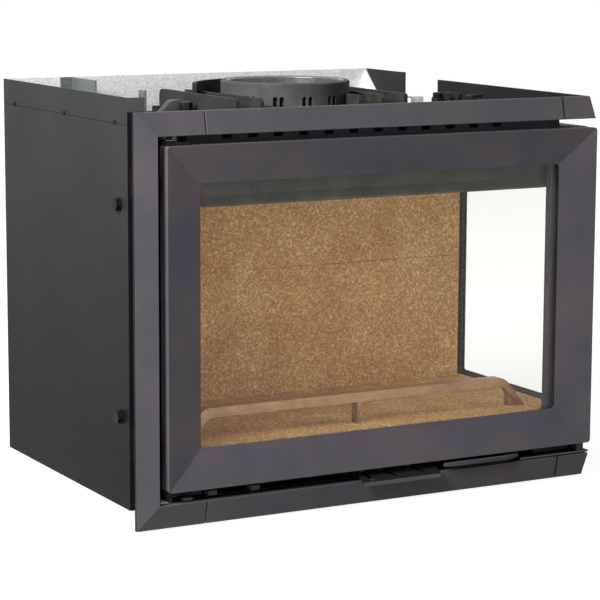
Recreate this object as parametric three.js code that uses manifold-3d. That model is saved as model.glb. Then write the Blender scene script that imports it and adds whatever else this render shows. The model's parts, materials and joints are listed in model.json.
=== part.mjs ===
// Fireplace insert with a hinged front door and a fixed glazed right side.
// Lengths are millimetres. Inside this file x runs right from the left edge of the cast trim,
// y runs back from the plane of the trim's outer edges and z runs up from the trim's bottom edge.
// The finished group is moved so that its origin is the middle of the floor under the insert.

import * as THREE from 'three';
import { mergeVertices } from 'three/addons/utils/BufferGeometryUtils.js';
import Module from 'manifold-3d';

const solids = await Module();
solids.setup();

// ---------- driving dimensions ----------

const fit = 0.3; // gap between two pieces that touch
const running = 0.4; // radial clearance of a turning pin
const overcut = 1; // how far a cutter passes the faces that it opens

const door = {
  width: 664.4, height: 450.3, thick: 22, proud: 10, bevel: 9, corner: 4,
  leftStile: 50, rightStile: 57.7, topRail: 49.6, bottomRail: 53.2,
};
const sideGlazing = { depth: 339.4, frontStile: 45.4, rearStile: 44 };
const glazing = {
  pane: 4, reveal: 2.5, lap: 10, gasket: 2, gasketWidth: 7, stepLap: 14, stepDepth: 3.6,
  ropeStart: 17, rope: 8, ropeDepth: 8, ropeRound: 1.6, stripShare: 0.7, stripInset: 6,
};

// The trim's bars, and the open gaps that they leave round the door and the side glass.
const trim = {
  sheet: 6, bevel: 6.5, column: 31, topBar: 31, bottomBar: 32, rearColumn: 31,
  gapLeft: 11.3, gapTop: 12.5, gapBottom: 16.2, gapRear: 11, sideInset: 6.7,
  leftSeam: 98.5, rightSeam: 46.5, leftSeamGap: 1.4, rightSeamGap: 0.9,
};
const trimBracket = {
  sheet: 3, before: 16, after: 26, topMargin: 4, bottomMargin: 6,
  channelLeft: 4, channelWidth: 18, tall: 40, fromTop: 110, fromBottom: 90, angle: 32,
};

// The sheet casing, placed from the door and the side glass.
const casing = {
  left: 2, front: 24, sheet: 2, above: 60.8, below: 25.6, behind: 98, rightInset: 106.2,
  frontFlange: 24, rearRightRun: 110, rearRightFold: 9, rearRightOffset: 4,
  backFlange: 54, backFlangeSlope: 50,
};
const railSize = { width: 36, inset: 110, height: 24.3, sheet: 3, setback: 20 };
const caseBolt = {
  across: 15, high: 7, collar: 18.6, collarHigh: 1.6, setback: 27, fromTop: 138.3, fromBottom: 120.4,
};
const clip = { sheet: 3, depth: 18, height: 68, above: 8.7 };
const spacer = { inset: 103, leg: 17, sheet: 2, height: 179 };

// The cast body, placed from the door.
const body = { inset: 19.7, wall: 8, rearInset: 22, baseRise: 15.8, baseThick: 8.3, skirt: 6 };
const frontPlate = {
  inset: 23.7, gap: 1, thick: 12, footLeft: 34, footRight: 60, footRise: 2,
  growLeft: 0.3, growRight: -4, growBottom: 6.4, growTop: 6.1, corner: 8,
};
const deck = { rise: 5.5, thick: 8, rightInset: 26.4, rearRightInset: 94.4, overhang: 6, shelfDrop: 6 };
const dome = {
  leftOfFlue: 134, rightOfFlue: 135, wall: 6, setback: 92, overhang: 8,
  rise: 41, roofRise: 18, roofThick: 8, rearCorner: 9, frontCorner: 4.5,
};
const topRib = {
  pitch: 36.5, thick: 6, fromLeft: 1, fromRight: 2, slope: 6, drop: 5, rearGap: 8, rearDrop: 2,
};
const flue = { offset: -22, fromRear: 132, outer: 91, bore: 78, height: 32, seat: 2, sides: 56 };
const flueRim = { lip: 4, chamfer: 2, inner: 2.5, deep: 12, run: 2 };
const flueNotch = { count: 14, width: 15, height: 13, bar: 3, turn: 0.68, keepIn: 5 };
const guard = { behind: 1, thick: 6, height: 27, from: 62, to: 158, segments: 8 };
const airSlot = { width: 15, height: 7, pitch: 37.8, first: 64.6, drop: 0.5, endMargin: 80, corner: 2 };

// Inside the firebox.
const lining = { side: 26, floor: 32.4, back: 30, lowerBoard: 187, topGap: 20, rightGap: 11.6, frontGap: 5 };
const baffle = { thick: 16, setback: 85, rightGap: 1 };
const deflector = {
  depth: 11, drop: 34.9, lip: 11, sheet: 3, leftGap: 14, rightGap: 4, rearGap: 1,
};
const retainer = {
  leftGap: 6.5, rightGap: 7, setback: 30.5, height: 44, rail: 14, deep: 16,
  leftRun: 27, leftBend: 7, leftInner: 7, leftLeg: 14, shoulder: 13, innerShoulder: 7,
  rightRun: 36.2, rightBend: 14, rightLeg: 12, gusset: 27, recess: 4,
  postShift: 9, postTop: 8.5, postFoot: 2.5, curve: 4,
};

// Hinges, latch and the parts under the door.
const hinge = {
  inset: 10, setback: 14, pin: 4, depth: 19, leaf: 3, reach: 19, edge: 7, head: 6, headHigh: 2.4,
  lift: 0.8, upperTab: 17, lowerTab: 8,
};
const washer = { thick: 1.5, radius: 8 };
const latch = {
  inset: 126.7, setback: 12, arm: 5, boss: 9, barEnd: 16, barLength: 104, reachOut: 6, barDeep: 8,
};
const latchHook = { reach: 13, nose: 14, width: 8, drop: 4 };
const keeper = { gap: 2, wide: 12 };
const sill = {
  thick: 3, rise: 1.5, front: 8, leftInset: 4.7, lipGap: 9, lipFront: 6,
  padInset: 5.7, padWidth: 12, padForward: 2,
};
const restBlock = { width: 13, height: 7, inset: 60.7, pitch: 63, count: 2, forward: 9 };
const airControl = {
  width: 122, offset: 16.5, stem: 60, plate: 2.5, rise: 4.1, reach: 47, forward: 7, bend: 5,
  noseDrop: 11, nose: 6, slit: 8, slitRear: 12, slits: [[2, 13], [30, 57], [74, 103]], travel: 45,
  side: 4, headroom: 3, windowWide: 24, windowFrom: 14, windowTo: 8,
};

// Straps bolted to the deck.
const clamp = {
  width: 44, depth: 56, thick: 4, upright: 6, root: 14, inset: 6, boltInset: 14, boltAcross: 17, boltHigh: 9,
  leftFromRear: 90, leftLift: 14, rightInset: 60, rightFromRear: 96, rightLift: 20,
};
const circleSides = 24;

// ---------- places worked out from the sizes ----------

const doorX = [trim.column + trim.gapLeft, trim.column + trim.gapLeft + door.width];
const doorZ = [trim.bottomBar + trim.gapBottom, trim.bottomBar + trim.gapBottom + door.height];
const doorFront = -door.proud;
const doorBack = door.thick - door.proud;
const trimWidth = doorX[1] - trim.sideInset;
const trimHeight = doorZ[1] + trim.gapTop + trim.topBar;
const sideY = [doorBack + 2 * fit, doorBack + 2 * fit + sideGlazing.depth];
const trimDepth = sideY[1] + trim.gapRear + trim.rearColumn;
const trimInside = trimWidth - trim.sheet;

const windowX = [doorX[0] + door.leftStile, doorX[1] - door.rightStile];
const windowZ = [doorZ[0] + door.bottomRail, doorZ[1] - door.topRail];

const casingX = [casing.left, doorX[1] - casing.rightInset];
const casingY = [casing.front, sideY[1] + casing.behind];
const casingZ = [doorZ[0] - casing.below, doorZ[1] + casing.above];
const casingFloor = casingZ[0] + casing.sheet;
const casingBackInside = casingY[1] - casing.sheet - fit;

const plateFront = doorBack + frontPlate.gap;
const plateBack = plateFront + frontPlate.thick;
const bodyFront = plateBack + fit;
const bodyLeft = doorX[0] + body.inset;
const bodyRear = sideY[1] - body.rearInset;
const bodyRight = doorX[1] - door.thick - fit;
const baseTop = doorZ[0] + body.baseRise;
const insideX = [bodyLeft + body.wall + fit, bodyRight - fit];
const insideRear = bodyRear - body.wall - fit;
const fireOpening = {
  x: [windowX[0] - frontPlate.growLeft, windowX[1] + frontPlate.growRight],
  z: [windowZ[0] - frontPlate.growBottom, windowZ[1] + frontPlate.growTop],
};

const deckZ = [doorZ[1] + deck.rise, doorZ[1] + deck.rise + deck.thick];
const shelfZ = [deckZ[0] - deck.shelfDrop - deck.thick, deckZ[0] - deck.shelfDrop];
const deckX = [bodyLeft - deck.overhang, bodyRight - deck.rightInset];
const flueX = (bodyLeft + deckX[1]) / 2 + flue.offset;
const domeX = [flueX - dome.leftOfFlue, flueX + dome.rightOfFlue];
const domeY = [plateBack + dome.setback, sideY[1] + dome.overhang];
const domeTop = deckZ[0] + dome.rise;
const roofZ = [deckZ[0] + dome.roofRise, deckZ[0] + dome.roofRise + dome.roofThick];
const flueY = domeY[1] - flue.fromRear;

const sillZ = [trim.bottomBar + sill.rise, trim.bottomBar + sill.rise + sill.thick];
const plateFootZ = sillZ[1] + fit;
const plateEdgeZ = doorZ[0] - frontPlate.footRise;
const liningZ = [baseTop + lining.floor + 2 * fit, shelfZ[0] - lining.topGap];
const sideArmX = insideX[1] - deflector.lip;

const hingeX = doorX[0] + hinge.inset;
const hingeY = doorFront + hinge.setback;
const latchX = doorX[1] - latch.inset;
const latchY = doorFront + latch.setback;
const latchZ = [doorZ[0] - fit - latchHook.drop - latch.arm, doorZ[0] - fit - latchHook.drop];

const controlMiddle = (doorX[0] + doorX[1]) / 2 + airControl.offset;
const controlZ = [sillZ[1] + airControl.rise, sillZ[1] + airControl.rise + airControl.plate];
const controlFront = doorFront - airControl.forward;
const controlBack = plateBack + airControl.reach;
const airwayX = [
  controlMiddle - airControl.stem / 2 - airControl.travel - airControl.side,
  controlMiddle + airControl.stem / 2 + airControl.side,
];
const airwayZ = [casingFloor + 2, controlZ[1] + airControl.headroom];

// ---------- shaping helpers ----------

/** Turns a closed three.js geometry into a solid that can be cut and joined. */
function toSolid(source) {
  const bare = source.clone();
  bare.deleteAttribute('normal');
  bare.deleteAttribute('uv');
  const merged = mergeVertices(bare, 1e-4);
  return new solids.Manifold(new solids.Mesh({
    numProp: 3,
    vertProperties: new Float32Array(merged.attributes.position.array),
    triVerts: new Uint32Array(merged.index.array),
  }));
}

/** Turns a solid back into a three.js geometry. */
function toGeometry(solid) {
  const mesh = solid.getMesh();
  const geometry = new THREE.BufferGeometry();
  geometry.setAttribute('position', new THREE.BufferAttribute(new Float32Array(mesh.vertProperties), 3));
  geometry.setIndex(new THREE.BufferAttribute(new Uint32Array(mesh.triVerts), 1));
  geometry.computeVertexNormals();
  return geometry;
}

const cut = (solid, ...tools) => tools.reduce((rest, tool) => rest.subtract(tool), solid);
const join = (solid, ...others) => others.reduce((whole, other) => whole.add(other), solid);
const common = (solid, ...others) => others.reduce((part, other) => part.intersect(other), solid);

/** The range made longer at both ends, or shorter by a negative amount. */
const grow = (range, by) => [range[0] - by, range[1] + by];

/** A range that starts at a place and has a length. */
const span = (start, length) => [start, start + length];

/** A block between two limits on each axis. */
function block(x, y, z) {
  const geometry = new THREE.BoxGeometry(x[1] - x[0], y[1] - y[0], z[1] - z[0]);
  geometry.translate((x[0] + x[1]) / 2, (y[0] + y[1]) / 2, (z[0] + z[1]) / 2);
  return toSolid(geometry);
}

/** Turns a geometry drawn in the xy plane and extruded along z onto the named axis. */
function turnTo(axis, geometry) {
  if (axis === 'x') {
    geometry.applyMatrix4(new THREE.Matrix4().makeBasis(
      new THREE.Vector3(0, 1, 0), new THREE.Vector3(0, 0, 1), new THREE.Vector3(1, 0, 0)));
  }
  if (axis === 'y') {
    geometry.applyMatrix4(new THREE.Matrix4().makeRotationX(Math.PI / 2));
  }
  return geometry;
}

/** Extrudes a shape along an axis: 'x' takes (y, z) points, 'y' takes (x, z), 'z' takes (x, y). */
function extrude(axis, shape, range, options = {}) {
  const geometry = new THREE.ExtrudeGeometry(shape, {
    depth: range[1] - range[0], bevelEnabled: false, curveSegments: 2, ...options,
  });
  geometry.translate(0, 0, axis === 'y' ? -range[1] : range[0]);
  return toSolid(turnTo(axis, geometry));
}

/** Extrudes a straight-sided outline along an axis. */
function prism(axis, points, range) {
  return extrude(axis, new THREE.Shape(points.map(([a, b]) => new THREE.Vector2(a, b))), range);
}

/** A round or six-sided bar along an axis, centred on two coordinates. */
function bar(axis, centre, range, radius, sides = circleSides) {
  const turn = (2 * Math.PI) / sides;
  const points = Array.from({ length: sides }, (_, i) => [
    centre[0] + radius * Math.cos(i * turn), centre[1] + radius * Math.sin(i * turn)]);
  return prism(axis, points, range);
}

/** A hexagon bar, sized by the width across its flats. */
const hexagon = (axis, centre, range, across) => bar(axis, centre, range, across / Math.sqrt(3), 6);

/** A rectangle with rounded corners. */
function roundedRectangle(x, z, radius) {
  const shape = new THREE.Shape();
  shape.moveTo(x[0] + radius, z[0]);
  shape.lineTo(x[1] - radius, z[0]);
  shape.absarc(x[1] - radius, z[0] + radius, radius, -Math.PI / 2, 0);
  shape.lineTo(x[1], z[1] - radius);
  shape.absarc(x[1] - radius, z[1] - radius, radius, 0, Math.PI / 2);
  shape.lineTo(x[0] + radius, z[1]);
  shape.absarc(x[0] + radius, z[1] - radius, radius, Math.PI / 2, Math.PI);
  shape.lineTo(x[0], z[0] + radius);
  shape.absarc(x[0] + radius, z[0] + radius, radius, Math.PI, 1.5 * Math.PI);
  return shape;
}

/** A closed outline. A point with a third number is rounded, with a curve that reaches that far. */
function softOutline(points) {
  const corners = points.map(([a, b]) => new THREE.Vector2(a, b));
  const shape = new THREE.Shape();
  corners.forEach((corner, i) => {
    const reach = points[i][2] ?? 0;
    const [start, end] = [corners.at(i - 1), corners[(i + 1) % corners.length]].map(
      (other) => corner.clone().lerp(other, reach / corner.distanceTo(other)));
    if (i === 0) shape.moveTo(start.x, start.y);
    else shape.lineTo(start.x, start.y);
    if (reach) shape.quadraticCurveTo(corner.x, corner.y, end.x, end.y);
  });
  return shape;
}

const group = new THREE.Group();

/** Adds one finished piece with its name and finish. */
function add(name, solid, finish) {
  const mesh = new THREE.Mesh(toGeometry(solid), new THREE.MeshStandardMaterial(finish));
  mesh.name = name;
  group.add(mesh);
}

const finishes = {
  castTrim: { color: 0x5b595c, roughness: 0.62, metalness: 0.35 },
  castBody: { color: 0x45463f, roughness: 0.72, metalness: 0.35 },
  paintedSteel: { color: 0x4a4a4a, roughness: 0.55, metalness: 0.2 },
  galvanised: { color: 0xc9cac9, roughness: 0.45, metalness: 0.8 },
  steel: { color: 0x8f9092, roughness: 0.4, metalness: 0.9 },
  blackBolt: { color: 0x1c1c1d, roughness: 0.5, metalness: 0.6 },
  brightSteel: { color: 0xb9b9b6, roughness: 0.3, metalness: 0.95 },
  strawSteel: { color: 0xa08a68, roughness: 0.45, metalness: 0.75 },
  vermiculite: { color: 0xb98a5a, roughness: 0.95, metalness: 0 },
  rope: { color: 0x6f6d68, roughness: 1, metalness: 0 },
  glass: { color: 0xe8efe9, roughness: 0.05, metalness: 0, transparent: true, opacity: 0.2 },
};

// ---------- cast trim ----------

/** The trim's outer shape: sloped faces that stand proud by the bevel at the inner edges. */
function trimEnvelope() {
  const { bevel, bottomBar, topBar, column, rearColumn } = trim;
  const deep = trimDepth + overcut;
  const frontSlopes = prism('x', [
    [0, 0], [-bevel, bottomBar], [-bevel, trimHeight - topBar], [0, trimHeight],
    [deep, trimHeight], [deep, 0],
  ], [0, trimWidth + bevel]);
  const sideSlopes = prism('y', [
    [0, 0], [trimWidth, 0], [trimWidth + bevel, bottomBar],
    [trimWidth + bevel, trimHeight - topBar], [trimWidth, trimHeight], [0, trimHeight],
  ], [-bevel, deep]);
  const columnSlopes = prism('z', [
    [0, 0], [column, -bevel], [trimWidth + bevel, -bevel],
    [trimWidth + bevel, trimDepth - rearColumn], [trimWidth, trimDepth], [0, trimDepth],
  ], [0, trimHeight]);
  return common(frontSlopes, sideSlopes, columnSlopes);
}

/** Front plate and side plate of the trim, with the door and side glass openings cut out. */
function wholeTrim() {
  const outX = trimWidth + trim.bevel + overcut;
  const outY = -trim.bevel - overcut;
  const inside = block([-overcut, trimInside], [trim.sheet, trimDepth + overcut],
    grow([0, trimHeight], overcut));
  const openZ = [trim.bottomBar, trimHeight - trim.topBar];
  const doorway = block([trim.column, outX], [outY, trim.sheet + overcut], openZ);
  const sideway = block([trimInside - overcut, outX], [outY, trimDepth - trim.rearColumn], openZ);
  return cut(trimEnvelope(), inside, doorway, sideway);
}

/** The trim is four castings: a left frame, two bars and a side frame, which butt at the seams. */
function addTrim() {
  const whole = wholeTrim();
  const y = [-trim.bevel - overcut, trimDepth + overcut];
  const seamRight = trimWidth - trim.rightSeam;
  const slice = (x, z) => common(whole, block(x, y, z));
  const all = grow([0, trimHeight], overcut);
  const middle = [trim.leftSeam + trim.leftSeamGap, seamRight - trim.rightSeamGap];
  const halfHeight = trimHeight / 2;
  add('trim_left_frame', slice([-overcut, trim.leftSeam], all), finishes.castTrim);
  add('trim_top_bar', slice(middle, [halfHeight, all[1]]), finishes.castTrim);
  add('trim_bottom_bar', slice(middle, [all[0], halfHeight]), finishes.castTrim);
  add('trim_side_frame', slice([seamRight, trimWidth + trim.bevel + overcut], all), finishes.castTrim);
}

/** Folded steel brackets behind the seams, on the front plate above and under the sill below. */
function addSeamBrackets() {
  const { sheet, before, after, topMargin, bottomMargin } = trimBracket;
  const back = trim.sheet + fit;
  const seams = {
    left: span(trim.leftSeam - before, before + after),
    right: span(trimWidth - trim.rightSeam - after, before + after),
  };
  const topFoot = deckZ[1] + fit;
  const lowFoot = sillZ[0] - fit;
  for (const [side, x] of Object.entries(seams)) {
    add(`trim_bracket_top_${side}`, prism('x', [
      [back, topFoot], [plateBack, topFoot], [plateBack, topFoot + sheet], [back + sheet, topFoot + sheet],
      [back + sheet, trimHeight - topMargin], [back, trimHeight - topMargin],
    ], x), finishes.steel);
    add(`trim_bracket_bottom_${side}`, prism('x', [
      [back, bottomMargin], [back + sheet, bottomMargin], [back + sheet, lowFoot - sheet],
      [casing.front - fit, lowFoot - sheet], [casing.front - fit, lowFoot], [back, lowFoot],
    ], x), finishes.steel);
  }
}

/** Channels between the left column and the casing, and angles behind the rear column. */
function addColumnBrackets() {
  const { sheet, channelLeft, channelWidth, tall, fromTop, fromBottom, angle } = trimBracket;
  const front = trim.sheet + fit;
  const back = casing.front - fit;
  const left = casing.left + channelLeft;
  const right = left + channelWidth;
  const inner = trimInside - fit;
  const panelBack = sideY[1] + 2 * fit + casing.sheet;
  const angleBack = trimDepth - trimBracket.topMargin;
  const levels = { upper: trimHeight - fromTop, lower: fromBottom };
  for (const [level, z] of Object.entries(levels)) {
    add(`trim_bracket_left_${level}`, prism('z', [
      [left, front], [right, front], [right, back], [left, back], [left, back - sheet],
      [right - sheet, back - sheet], [right - sheet, front + sheet], [left, front + sheet],
    ], span(z, tall)), finishes.steel);
    add(`trim_bracket_rear_${level}`, prism('z', [
      [inner, panelBack], [inner, angleBack], [inner - sheet, angleBack],
      [inner - sheet, panelBack + sheet], [inner - angle, panelBack + sheet], [inner - angle, panelBack],
    ], span(z, tall)), finishes.steel);
  }
}

// ---------- sheet casing ----------

function addCasing() {
  const { sheet, frontFlange, rearRightRun, rearRightFold, rearRightOffset } = casing;
  const [left, right] = casingX;
  const [front, rear] = casingY;
  const leftPanel = prism('z', [
    [left, front], [left + frontFlange, front], [left + frontFlange, front + sheet],
    [left + sheet, front + sheet], [left + sheet, rear], [left, rear],
  ], casingZ);
  add('casing_left_panel', leftPanel, finishes.paintedSteel);

  const panelLeft = left + sheet + fit;
  const flangeZ = [casingFloor + fit, casingZ[1]];
  const flange = prism('x', [
    [rear, flangeZ[0]], [rear - casing.backFlange, flangeZ[0]],
    [rear - casing.backFlange, flangeZ[1] - casing.backFlangeSlope], [rear, flangeZ[1]],
  ], span(right - 2 * sheet - fit, sheet));
  add('casing_back_panel', join(block([panelLeft, right], [rear - sheet, rear], casingZ), flange),
    finishes.galvanised);

  const foldY = rear - rearRightRun + rearRightFold;
  const edgeY = rear - rearRightRun;
  const rearRight = prism('z', [
    [right, casingBackInside], [right - sheet, casingBackInside], [right - sheet, foldY],
    [right - sheet + rearRightOffset, edgeY], [right + rearRightOffset, edgeY], [right, foldY],
  ], flangeZ);
  add('casing_rear_right_panel', rearRight, finishes.paintedSteel);

  add('casing_base', block([panelLeft, right], [front + sheet + fit, casingBackInside],
    [casingZ[0], casingFloor]), finishes.galvanised);

  add('side_closing_panel', block([right + fit, trimInside - fit], span(sideY[1] + fit, sheet), doorZ),
    finishes.paintedSteel);
}

/** Two folded rails that carry the casing clear of the hearth. */
function addRails() {
  const { width, inset, sheet, setback } = railSize;
  const top = casingZ[0] - fit;
  const bottom = top - railSize.height;
  const starts = { left: inset, right: casingX[1] - inset };
  for (const [side, x] of Object.entries(starts)) {
    add(`base_rail_${side}`, prism('y', [
      [x, bottom], [x + width, bottom], [x + width, bottom + sheet], [x + sheet, bottom + sheet],
      [x + sheet, top - sheet], [x + width, top - sheet], [x + width, top], [x, top],
    ], grow(casingY, -setback)), finishes.galvanised);
  }
}

function addCasingHardware() {
  const face = casing.left - fit;
  const levels = { upper: casingZ[1] - caseBolt.fromTop, lower: casingZ[0] + caseBolt.fromBottom };
  for (const [level, z] of Object.entries(levels)) {
    const centre = [casing.front + caseBolt.setback, z];
    const head = hexagon('x', centre, [face - caseBolt.high, face], caseBolt.across);
    const collar = bar('x', centre, [face - caseBolt.collarHigh, face], caseBolt.collar / 2);
    add(`casing_bolt_${level}`, join(head, collar), finishes.blackBolt);
  }
  const clipTop = casingZ[1] + clip.above;
  add('casing_front_clip', block(span(casing.left + casing.frontFlange + fit, clip.sheet),
    span(casing.front, clip.depth), [clipTop - clip.height, clipTop]), finishes.galvanised);

  const x = casing.left + spacer.inset;
  const front = domeY[1] + fit;
  const top = casingZ[1] - fit;
  add('rear_spacer_bracket', prism('z', [
    [x, front], [x + spacer.sheet, front], [x + spacer.sheet, casingBackInside],
    [x - spacer.leg, casingBackInside], [x - spacer.leg, casingBackInside - spacer.sheet],
    [x, casingBackInside - spacer.sheet],
  ], [top - spacer.height, top]), finishes.galvanised);
}

// ---------- firebox body ----------

/** Cast base: a plate on a skirt that forms the air box, with the air control's way in at the front. */
function baseCasting() {
  const x = [bodyLeft, bodyRight];
  const y = [bodyFront, bodyRear];
  const plateBottom = baseTop - body.baseThick;
  const whole = block(x, y, [casingFloor + fit, baseTop]);
  const hollow = block(grow(x, -body.skirt), grow(y, -body.skirt), [casingFloor, plateBottom]);
  const airway = block(airwayX, grow(span(bodyFront, body.skirt), overcut), airwayZ);
  return cut(whole, hollow, airway);
}

/** Cast front plate on two feet, with the fire opening and a row of air slots along its top. */
function frontPlateCasting() {
  const y = [plateFront, plateBack];
  const through = grow(y, overcut);
  const left = doorX[0] + frontPlate.inset;
  const plate = prism('y', [
    [left, plateFootZ], [left + frontPlate.footLeft, plateFootZ], [left + frontPlate.footLeft, plateEdgeZ],
    [bodyRight - frontPlate.footRight, plateEdgeZ], [bodyRight - frontPlate.footRight, plateFootZ],
    [bodyRight, plateFootZ], [bodyRight, shelfZ[0] - fit], [deckX[1], shelfZ[0] - fit],
    [deckX[1], deckZ[1]], [left, deckZ[1]],
  ], y);
  const opening = extrude('y', roundedRectangle(fireOpening.x, fireOpening.z, frontPlate.corner), through);
  const slotZ = span(deckZ[0] - airSlot.drop, airSlot.height);
  const first = left + airSlot.first;
  const room = deckX[1] - airSlot.endMargin - airSlot.width - first;
  const count = Math.floor(room / airSlot.pitch) + 1;
  const slots = Array.from({ length: count }, (_, i) => extrude('y',
    roundedRectangle(span(first + i * airSlot.pitch, airSlot.width), slotZ, airSlot.corner), through));
  return cut(plate, opening, ...slots);
}

/** Ribbed cast top: side decks, a raised dome with a rim, ribs and a curved guard round the flue. */
function topCasting() {
  const y = [bodyFront, domeY[1]];
  const [left, right] = domeX;
  const { wall } = dome;
  const [deckLeft, deckRight] = deckX;
  const section = prism('y', [
    [deckLeft, deckZ[0]], [left + wall, deckZ[0]], [left + wall, roofZ[0]], [right - wall, roofZ[0]],
    [right - wall, deckZ[0]], [deckRight - body.wall, deckZ[0]], [deckRight - body.wall, shelfZ[0]],
    [bodyRight, shelfZ[0]], [bodyRight, shelfZ[1]], [deckRight, shelfZ[1]], [deckRight, deckZ[1]],
    [right, deckZ[1]], [right, roofZ[1]], [left, roofZ[1]], [left, deckZ[1]], [deckLeft, deckZ[1]],
  ], y);
  const rearRightNotch = block([bodyRight - deck.rearRightInset, bodyRight + overcut],
    [bodyRear + fit, domeY[1] + overcut], grow([shelfZ[0], domeTop], overcut));
  const rims = [left, right - wall].map((x) => rimWall(x));
  const endWalls = [y[0], y[1] - wall].map((start) => block(
    grow(domeX, -wall / 2), span(start, wall), [deckZ[0], roofZ[1] - overcut]));
  const ribs = ribPlaces().map((x) => frontToBackRib(x));
  const centre = [flueX, flueY];
  const collarTop = roofZ[1] + flue.height + overcut;
  const outlet = bar('z', centre, [deckZ[0] - overcut, collarTop], flue.bore, flue.sides);
  const collarSeat = bar('z', centre, [roofZ[1], collarTop], flue.outer + flue.seat, flue.sides);
  return cut(join(section, ...rims, ...endWalls, ...ribs, flueGuard()), rearRightNotch, outlet, collarSeat);
}

/** A rim along one side of the dome, with rounded upper corners. */
function rimWall(x) {
  const [front, rear] = domeY;
  const { frontCorner, rearCorner } = dome;
  const shape = new THREE.Shape();
  shape.moveTo(front, deckZ[0]);
  shape.lineTo(rear, deckZ[0]);
  shape.lineTo(rear, domeTop - rearCorner);
  shape.absarc(rear - rearCorner, domeTop - rearCorner, rearCorner, 0, Math.PI / 2);
  shape.lineTo(front + frontCorner, domeTop);
  shape.absarc(front + frontCorner, domeTop - frontCorner, frontCorner, Math.PI / 2, Math.PI);
  return extrude('x', shape, span(x, dome.wall));
}

/** Left faces of the straight ribs, counted inwards from the two rims. */
function ribPlaces() {
  const steps = (count) => Array.from({ length: count }, (_, i) => (i + 1) * topRib.pitch);
  return [
    ...steps(topRib.fromLeft).map((step) => domeX[0] + step),
    ...steps(topRib.fromRight).map((step) => domeX[1] - dome.wall - step),
  ];
}

/** A straight rib on the dome's roof, chamfered at its front end and a little lower at its rear. */
function frontToBackRib(x) {
  const [front, rear] = [domeY[0], domeY[1] - topRib.rearGap];
  const root = roofZ[1] - overcut;
  return prism('x', [
    [front, root], [rear, root], [rear, domeTop - topRib.rearDrop],
    [front + topRib.slope, domeTop], [front, domeTop - topRib.drop],
  ], span(x, topRib.thick));
}

/** The curved rib behind the flue collar. */
function flueGuard() {
  const shape = new THREE.Shape();
  const outer = flue.fromRear - guard.behind;
  const from = THREE.MathUtils.degToRad(guard.from);
  const to = THREE.MathUtils.degToRad(guard.to);
  shape.absarc(flueX, flueY, outer, from, to);
  shape.absarc(flueX, flueY, outer - guard.thick, to, from, true);
  return extrude('z', shape, [roofZ[1] - overcut, roofZ[1] + guard.height],
    { curveSegments: guard.segments });
}

function addBody() {
  add('body_base', baseCasting(), finishes.castBody);
  add('front_plate', frontPlateCasting(), finishes.castBody);
  const wallZ = [baseTop + fit, deckZ[0] - fit];
  add('body_left_wall', block(span(bodyLeft, body.wall), [bodyFront, bodyRear], wallZ), finishes.castBody);
  const rearWall = block([insideX[0], bodyRight], [bodyRear - body.wall, bodyRear], wallZ);
  const shelfRoom = block([deckX[1] - body.wall - fit, bodyRight + overcut],
    grow([bodyRear - body.wall, bodyRear], overcut), [shelfZ[0] - fit, wallZ[1] + overcut]);
  add('body_rear_wall', cut(rearWall, shelfRoom), finishes.castBody);
  add('body_top', topCasting(), finishes.castBody);
}

/** Flue collar: a turned ring with a chamfered rim and a row of barred openings round its foot. */
function addFlueCollar() {
  const { bore, outer } = flue;
  const { lip, chamfer, inner, deep, run } = flueRim;
  const bottom = roofZ[1] + fit;
  const top = roofZ[1] + flue.height;
  const points = [
    [bore, bottom], [outer, bottom], [outer, top - chamfer], [outer - chamfer, top], [bore + lip, top],
    [bore + inner, top - chamfer], [bore + inner, top - deep], [bore, top - deep - run], [bore, bottom],
  ].map(([r, z]) => new THREE.Vector2(r, z));
  const ring = new THREE.LatheGeometry(points, flue.sides);
  ring.rotateX(Math.PI / 2);
  ring.translate(flueX, flueY, 0);
  const openings = Array.from({ length: flueNotch.count }, (_, i) => collarOpenings(
    bottom, (i + flueNotch.turn) * (360 / flueNotch.count)));
  add('flue_collar', cut(toSolid(ring), ...openings.flat()), finishes.castBody);
}

/** Two arched openings side by side in the collar's foot, with a thin bar left between them. */
function collarOpenings(bottom, angle) {
  const { width, height, bar: web, keepIn } = flueNotch;
  const wide = (width - web) / 2;
  const rise = wide / 3;
  return [-1, 1].map((side) => {
    const middle = side * (web + wide) / 2;
    const [left, right] = grow([middle, middle], wide / 2);
    const cutter = prism('y', [
      [left, bottom - overcut], [right, bottom - overcut], [right, bottom + height - rise],
      [middle + rise / 2, bottom + height], [middle - rise / 2, bottom + height],
      [left, bottom + height - rise],
    ], [flue.bore + keepIn, flue.outer + overcut]);
    return cutter.rotate([0, 0, angle]).translate([flueX, flueY, 0]);
  });
}

// ---------- glazed frames ----------

/**
 * A bevelled casting round a pane, drawn as seen from its front: x to the right, z up, front at y = 0.
 * The bevel runs from the outer edges down to the window; the back has a rebate for the pane.
 */
function glazedFrame(x, z, holeX, holeZ) {
  const { thick, corner, bevel } = door;
  const behind = thick + overcut;
  const plate = extrude('y', roundedRectangle(x, z, corner), [0, thick]);
  const dish = common(
    prism('z', [[x[0], 0], [holeX[0], bevel], [holeX[1], bevel], [x[1], 0],
      [x[1], -overcut], [x[0], -overcut]], z),
    prism('x', [[0, z[0]], [-overcut, z[0]], [-overcut, z[1]], [0, z[1]], [bevel, holeZ[1]],
      [bevel, holeZ[0]]], x));
  const hole = extrude('y', roundedRectangle(holeX, holeZ, corner), [-overcut, behind]);
  const rebate = block(grow(holeX, glazing.lap), [paneSeat().front, behind], grow(holeZ, glazing.lap));
  const step = block(grow(holeX, glazing.stepLap), [thick - glazing.stepDepth, behind],
    grow(holeZ, glazing.stepLap));
  return cut(plate, dish, hole, rebate, step);
}

/** Depths of the pane and its gasket behind a frame's front. */
function paneSeat() {
  const front = door.bevel + glazing.reveal;
  const gasket = span(front + fit, glazing.gasket);
  const pane = span(gasket[1] + fit, glazing.pane);
  return { front, gasket, pane };
}

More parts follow.
